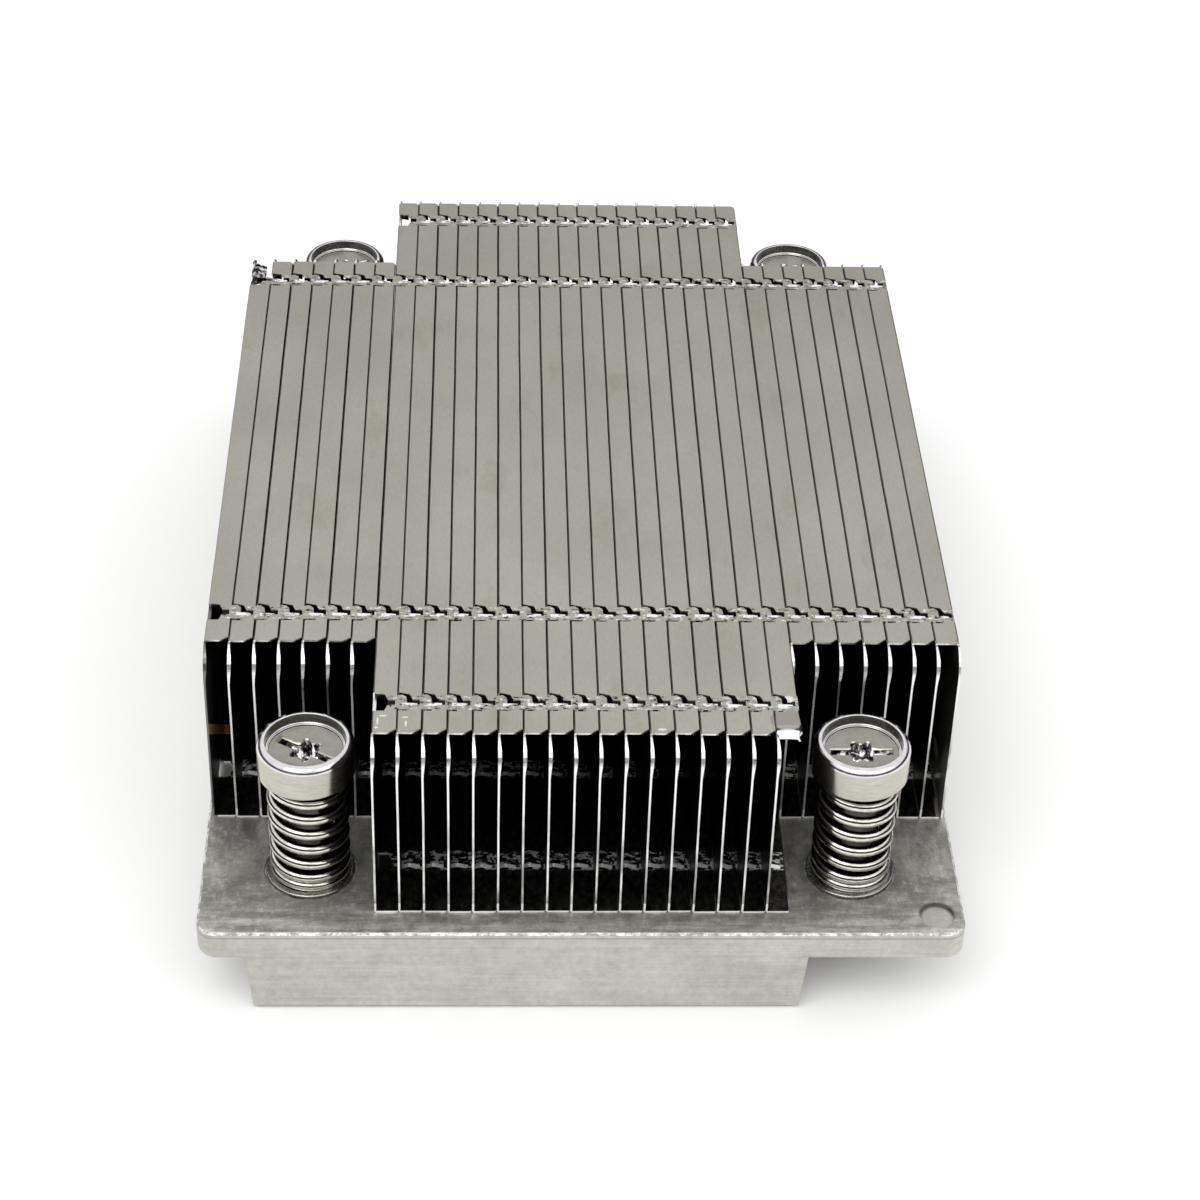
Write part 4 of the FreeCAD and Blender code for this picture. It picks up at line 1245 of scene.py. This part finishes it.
def spring_tree():
    """The tree of a spring: bend a line into a coil, give it its wire and grind its ends."""
    numbers = ["Length", "Diameter", "Wire", "Open Turns", "Closed Below", "Closed Above", "Turn"]
    sockets = {name: "Float" for name in numbers}
    sockets.update({"Foot": "Vector", "Steel": "Material"})
    tree = new_tree("spring", sockets)
    given = tree.nodes["Group Input"].outputs
    line = put(tree, "GeometryNodeCurvePrimitiveLine").outputs[0]
    fine = put(tree, "GeometryNodeResampleCurve", {"Curve": line, "Count": WIRE_POINTS}).outputs[0]
    place = coil_place(tree, given)
    coil = put(tree, "GeometryNodeSetPosition", {"Geometry": fine, "Position": place}).outputs[0]
    half_wire = math_node(tree, "MULTIPLY", given["Wire"], 0.5)
    circle = put(tree, "GeometryNodeCurvePrimitiveCircle", {
        "Resolution": WIRE_SIDES, "Radius": half_wire,
    }).outputs[0]
    wire = put(tree, "GeometryNodeCurveToMesh", {
        "Curve": noted(tree, coil, "wire_middle", place), "Profile Curve": circle, "Fill Caps": True,
    }).outputs[0]
    wire = noted(tree, wire, "wire_side", wire_side(tree, half_wire))
    flat = ground_flat(tree, wire, given["Length"])
    stood = put(tree, "GeometryNodeTransform", {
        "Geometry": flat, "Translation": given["Foot"],
    }).outputs[0]
    real = put(tree, "GeometryNodeRealizeInstances", {"Geometry": stood}).outputs[0]
    steel = put(tree, "GeometryNodeSetMaterial", {"Geometry": real, "Material": given["Steel"]}).outputs[0]
    smooth = put(tree, "GeometryNodeSetShadeSmooth", {"Geometry": steel}).outputs[0]
    tree.links.new(smooth, tree.nodes["Group Output"].inputs["Geometry"])
    return tree


winding = spring_tree()
print("nodes in a spring's tree:", len(winding.nodes))

# %% Wind the four springs
SPRING_TURN = {"front_left": 90.0, "front_right": 61.0, "rear_left": 150.0, "rear_right": 20.0}
for corner in CORNERS:
    low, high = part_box(f"{corner}_spring")
    length = high[2] - low[2]
    middle = ((low[0] + high[0]) / 2, (low[1] + high[1]) / 2, low[2])
    spring = grow(f"{corner}_coils", winding, {
        "Length": length, "Diameter": SPRING_DIAMETER * MM, "Wire": WIRE * MM,
        "Open Turns": OPEN_TURNS, "Closed Below": CLOSED_BELOW, "Closed Above": CLOSED_ABOVE,
        "Turn": math.radians(SPRING_TURN[corner]), "Foot": middle, "Steel": SPRING_STEEL,
    })
    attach(spring, "heatsink")
    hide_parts(f"{corner}_spring")
    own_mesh(spring)

# %% [markdown]
# ## Screws
# A screw head is turned on a lathe, so its mesh is a profile swept round an axis. The slot and
# the star are then cut with booleans, which leaves the crisp recess edges that catch light.


# %% Lathe
SMOOTH_ANGLE = 35


def finished(name, shape, material):
    """Turn a bmesh into an object with this material, smooth except at sharp edges."""
    bmesh.ops.recalc_face_normals(shape, faces=shape.faces)
    mesh = bpy.data.meshes.new(name)
    shape.to_mesh(mesh)
    shape.free()
    mesh.materials.append(material)
    piece = bpy.data.objects.new(name, mesh)
    bpy.context.scene.collection.objects.link(piece)
    crease(mesh)
    return piece


def crease(mesh):
    """Shade a mesh smooth, except at its sharp edges."""
    mesh.shade_smooth()
    mesh.set_sharp_from_angle(angle=math.radians(SMOOTH_ANGLE))


def lathe(profile, centre, steps=96):
    """A bmesh turned from a profile of radius and height, in metres, round a centre line."""
    shape = bmesh.new()
    rings = []
    for radius, height in profile:
        if radius < 1e-9:
            rings.append([shape.verts.new((centre[0], centre[1], height))])
            continue
        ring = []
        for i in range(steps):
            a = 2 * math.pi * i / steps
            x, y = centre[0] + radius * math.cos(a), centre[1] + radius * math.sin(a)
            ring.append(shape.verts.new((x, y, height)))
        rings.append(ring)
    for lower, upper in zip(rings, rings[1:] + rings[:1]):
        for i in range(steps):
            corners = [lower[i % len(lower)], lower[(i + 1) % len(lower)]]
            corners += [upper[(i + 1) % len(upper)], upper[i % len(upper)]]
            corners = list(dict.fromkeys(corners))
            if len(corners) > 2:
                shape.faces.new(corners)
    return shape


def arc(centre_r, centre_z, radius, start, end, steps=8):
    """Profile points on an arc, by angles in degrees from the outward direction."""
    angles = [math.radians(start + (end - start) * i / steps) for i in range(steps + 1)]
    return [(centre_r + radius * math.cos(a), centre_z + radius * math.sin(a)) for a in angles]


quarter = arc(0, 0, 1, 0, 90)
print("a quarter round is", len(quarter), "points")


# %% Cutters
FLARE = 0.12


def prism(rings, centre, turn):
    """A closed bmesh through rings, each a height and an outline of x and y points."""
    shape = bmesh.new()
    c, s = math.cos(turn), math.sin(turn)
    levels = []
    for height, outline in rings:
        turned = [(centre[0] + x * c - y * s, centre[1] + x * s + y * c) for x, y in outline]
        levels.append([shape.verts.new((x, y, height)) for x, y in turned])
    shape.faces.new(list(reversed(levels[0])))
    shape.faces.new(levels[-1])
    for lower, upper in zip(levels, levels[1:]):
        for i in range(len(lower)):
            j = (i + 1) % len(lower)
            shape.faces.new((lower[i], lower[j], upper[j], upper[i]))
    return shape


def broken_edge(outline, depth, floor):
    """Rings of a cutter whose mouth flares out by the size of a broken edge."""
    flare = FLARE * MM
    mouth = []
    for x, y in outline:
        reach = math.hypot(x, y)
        mouth.append((x + flare * x / reach, y + math.copysign(flare, y)))
    level = floor * MM
    below = [(level - depth * MM, outline), (level - flare, outline)]
    return below + [(level, mouth), (level + 0.5 * MM, mouth)]


def carve(piece, cutters):
    """Cut each cutter out of the piece, then remove the cutters."""
    for cutter in cutters:
        cut = piece.modifiers.new("cut", "BOOLEAN")
        cut.operation = "DIFFERENCE"
        cut.solver = "EXACT"
        cut.object = cutter
    depsgraph = bpy.context.evaluated_depsgraph_get()
    made = bpy.data.meshes.new_from_object(piece.evaluated_get(depsgraph), depsgraph=depsgraph)
    piece.modifiers.clear()
    piece.data = made
    for cutter in cutters:
        bpy.data.objects.remove(cutter)


print("broken edges flare by", FLARE, "mm")

# %% [markdown]
# The head is a cup with a thick round rim, and a small step runs round its floor. Only one
# plating covers it all, but each face gets its finish by where it lies: painted shade in the
# cup and on the shank, painted shade and painted glints in the recess, and a painted highlight
# on the rim and the cup's step. Every screw stopped at another turn.

# %% Outline of a screw
HEAD = {
    "radius": 4.95, "rim": 0.78, "under": 0.2, "cup": 1.15, "step_width": 0.35, "step": 0.25,
    "height": 3.9,
}
SLOT = {"length": 6.2, "width": 0.8, "depth": 0.7}
STAR = {"outer": 1.7, "inner": 1.15, "depth": 1.4}
SHANK, GROOVE, THREAD, TIP_BEVEL = 2.5, 2.1, 2.0, 0.6
SHOULDER = 0.6
DRIVER_TURN = {"front_left": -31.0, "front_right": 0.0, "rear_left": 24.0, "rear_right": -12.0}


def screw_profile(bottom, top, clip_low, clip_high):
    """Half of the screw's outline, from the tip's centre up round the head and into its cup."""
    under = top - HEAD["height"]
    bore = HEAD["radius"] - HEAD["rim"]
    ledge = top - HEAD["cup"]
    floor = ledge - HEAD["step"]
    gap, soft, lip, fine = 0.08, 0.12, 0.07, 0.06
    shoulder = clip_low - 2 * gap - SHOULDER
    points = [
        (0, bottom), (THREAD - TIP_BEVEL, bottom), (THREAD, bottom + TIP_BEVEL),
        (THREAD, shoulder), (SHANK, shoulder), (SHANK, clip_low - gap), (GROOVE, clip_low - gap),
        (GROOVE, clip_high + gap), (SHANK, clip_high + gap), (SHANK, under),
    ]
    points += arc(HEAD["radius"] - HEAD["under"], under + HEAD["under"], HEAD["under"], -90, 0, 4)
    points += arc(bore, top - HEAD["rim"], HEAD["rim"], 0, 84, 10)
    points += arc(bore - 0.02, top - lip, lip, 90, 180, 4)
    points += [(bore - 0.09, ledge + soft)]
    points += arc(bore - 0.09 - soft, ledge + soft, soft, 0, -90, 3)[1:]
    step = bore - HEAD["step_width"]
    points += arc(step, ledge - fine, fine, 90, 180, 4)
    points += [(step - 0.06, floor + 0.05), (step - 0.15, floor), (0, floor)]
    return [(r * MM, z * MM) for r, z in points], floor


def star_outline():
    """A six-lobed star with round lobes and round valleys."""
    mean = (STAR["outer"] + STAR["inner"]) / 2
    swing = (STAR["outer"] - STAR["inner"]) / 2
    outline = []
    for i in range(60):
        a = 2 * math.pi * i / 60
        r = (mean + swing * math.cos(6 * a)) * MM
        outline.append((r * math.cos(a), r * math.sin(a)))
    return outline


print("points on the star:", len(star_outline()))


# %% Turn the screws
OUTSIDE, IN_CUP, IN_RECESS, BELOW, ON_RIM = range(5)


def plate(mesh, centre, floor, top):
    """Give each face its finish by where it lies: outside, painted shade in the cup, painted shade and
    glints in the recess, painted shade below the head, and a painted highlight on the rim and the cup's
    step.
    """
    mesh.materials.clear()
    for material in (SCREW_PLATING, CUP_SHADE, RECESS_SHADE_AND_GLINTS, SHANK_SHADE, RIM_HIGHLIGHT):
        mesh.materials.append(material)
    bore = HEAD["radius"] - HEAD["rim"]
    rim_height = 0.62
    for face in mesh.polygons:
        x, y, z = face.center / MM
        reach = math.hypot(x - centre[0] / MM, y - centre[1] / MM)
        if z < top - HEAD["height"] - 0.01:
            face.material_index = BELOW
        elif reach < SLOT["length"] / 2 + 0.1 and z < floor - 0.1:
            face.material_index = IN_RECESS
        elif reach > bore - HEAD["step_width"] - 0.1 and abs(z - top + HEAD["cup"]) < 0.1:
            face.material_index = ON_RIM
        elif reach < bore and z < top - 0.1 and not floor - 0.1 <= z < floor - 0.01:
            face.material_index = IN_CUP
        elif z > top - rim_height:
            face.material_index = ON_RIM
        else:
            face.material_index = OUTSIDE


for corner in CORNERS:
    low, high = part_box(f"{corner}_screw")
    clip_low, clip_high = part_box(f"{corner}_clip")
    centre = ((low[0] + high[0]) / 2, (low[1] + high[1]) / 2)
    heights = [z / MM for z in (low[2], high[2], clip_low[2], clip_high[2])]
    profile, floor = screw_profile(*heights)
    screw = finished(f"{corner}_turned_screw", lathe(profile, centre), SCREW_PLATING)
    turn = math.radians(DRIVER_TURN[corner])
    end, side = SLOT["length"] / 2 * MM, SLOT["width"] / 2 * MM
    slot = [(-end, -side), (end, -side), (end, side), (-end, side)]
    cutters = []
    for name, outline, depth in [
        ("slot", slot, SLOT["depth"]), ("star", star_outline(), STAR["depth"]),
    ]:
        cutter = prism(broken_edge(outline, depth, floor), centre, turn)
        cutters.append(finished(name, cutter, SCREW_PLATING))
    carve(screw, cutters)
    plate(screw.data, centre, floor, high[2] / MM)
    crease(screw.data)
    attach(screw, f"{corner}_screw")
    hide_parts(f"{corner}_screw")
print("screw:", len(screw.data.polygons), "faces, head", round(2 * HEAD["radius"], 1), "mm wide")

# %% [markdown]
# ## Washers
# A washer is a flat ring whose punched edge is slightly round. It is turned like the screws.

# %% Turn the washers
for corner in CORNERS:
    low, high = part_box(f"{corner}_washer")
    centre = ((low[0] + high[0]) / 2, (low[1] + high[1]) / 2)
    outer = (high[0] - low[0]) / 2 / MM
    inner = SHANK + 0.3
    bottom, top = low[2] / MM, high[2] / MM
    profile = [(inner, bottom), (outer, bottom)]
    profile += arc(outer - 0.15, top - 0.15, 0.15, 0, 90, 5) + [(inner, top)]
    turned = lathe([(r * MM, z * MM) for r, z in profile], centre)
    washer = finished(f"{corner}_ring", turned, WASHER_STEEL)
    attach(washer, "heatsink")
    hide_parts(f"{corner}_washer")
print("washers:", len(CORNERS))

# %% [markdown]
# ## Finishes on the CAD pieces
# The base and the clips keep their CAD shapes and get their finished materials.

# %% Dress the CAD pieces
dressed = {"base": BASE_METAL}
dressed.update({f"{corner}_clip": CLIP_STEEL for corner in CORNERS})
for node, material in dressed.items():
    for material_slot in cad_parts[node].material_slots:
        material_slot.material = material
print("dressed:", len(dressed), "CAD pieces")

# %% [markdown]
# ## Floor and light
# A pale floor and soft lamps. The camera and mirror-like metal see a white room, while the
# world lights everything at a plain level. A low dark screen stands round the room. Only
# reflections see it: it draws the thin dark lines that make plating look like metal.


# %% Floor, screen, lamps and world
def white_room():
    """A white world that is seen a little brighter than it lights."""
    world = bpy.data.worlds.new("room")
    world.use_nodes = True
    tree = world.node_tree
    ground = tree.nodes["Background"]
    path = put(tree, "ShaderNodeLightPath").outputs
    seen = math_node(tree, "MAXIMUM", path["Is Camera Ray"], path["Is Glossy Ray"])
    seen = math_node(tree, "MAXIMUM", seen, path["Is Transmission Ray"])
    strength = put(tree, "ShaderNodeMapRange", {"Value": seen, "To Min": 0.97, "To Max": 1.0}).outputs[0]
    tree.links.new(strength, ground.inputs["Strength"])
    ground.inputs["Color"].default_value = (1, 1, 1, 1)
    bpy.context.scene.world = world


def stage_piece(name, mesh, colour):
    """Something matt that belongs to the room, not to the part."""
    piece = bpy.data.objects.new(name, mesh)
    bpy.context.scene.collection.objects.link(piece)
    material = bpy.data.materials.new(name)
    material.use_nodes = True
    shader = material.node_tree.nodes["Principled BSDF"]
    shader.inputs["Base Color"].default_value = (*colour, 1)
    shader.inputs["Roughness"].default_value = 0.9
    mesh.materials.append(material)
    piece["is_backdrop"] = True
    return piece


def floor_and_screen():
    """The pale floor, and the dark screen that only reflections see."""
    floor = bpy.data.meshes.new("floor")
    corners = [(-3, -3, 0), (3, -3, 0), (3, 3, 0), (-3, 3, 0)]
    floor.from_pydata(corners, [], [(0, 1, 2, 3)])
    stage_piece("floor", floor, (0.96, 0.96, 0.96))
    ring = bmesh.new()
    bmesh.ops.create_cone(ring, segments=48, radius1=1.6, radius2=1.6, depth=0.76, cap_ends=False)
    bmesh.ops.translate(ring, verts=ring.verts, vec=(0, 0, 0.4))
    screen_mesh = bpy.data.meshes.new("screen")
    ring.to_mesh(screen_mesh)
    ring.free()
    screen = stage_piece("screen", screen_mesh, (0.05, 0.045, 0.055))
    screen.visible_camera = False
    screen.visible_diffuse = False
    screen.visible_shadow = False


def lamp(name, place, target, size, power):
    """A square lamp that looks at its target."""
    light = bpy.data.lights.new(name, "AREA")
    light.size = size
    light.energy = power
    holder = bpy.data.objects.new(name, light)
    away = Vector(place) - Vector(target)
    look = away.to_track_quat("Z", "Y").to_matrix().to_4x4()
    holder.matrix_world = Matrix.Translation(place) @ look
    bpy.context.scene.collection.objects.link(holder)


white_room()
floor_and_screen()
lamp("key", (-0.25, -0.45, 0.85), (0, 0, 0), 0.6, 2.4)
lamp("fill", (0.5, -0.4, 0.7), (0, 0, 0), 0.7, 1.0)
bpy.context.scene.view_settings.view_transform = "Standard"
print("lamps:", len(bpy.data.lights))

# %% Measure and finish
dressed_box = [list(corner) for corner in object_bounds()]
in_mm = [[round(v / MM, 2) for v in corner] for corner in cad_box + dressed_box]
print("box before and after, mm:", in_mm)
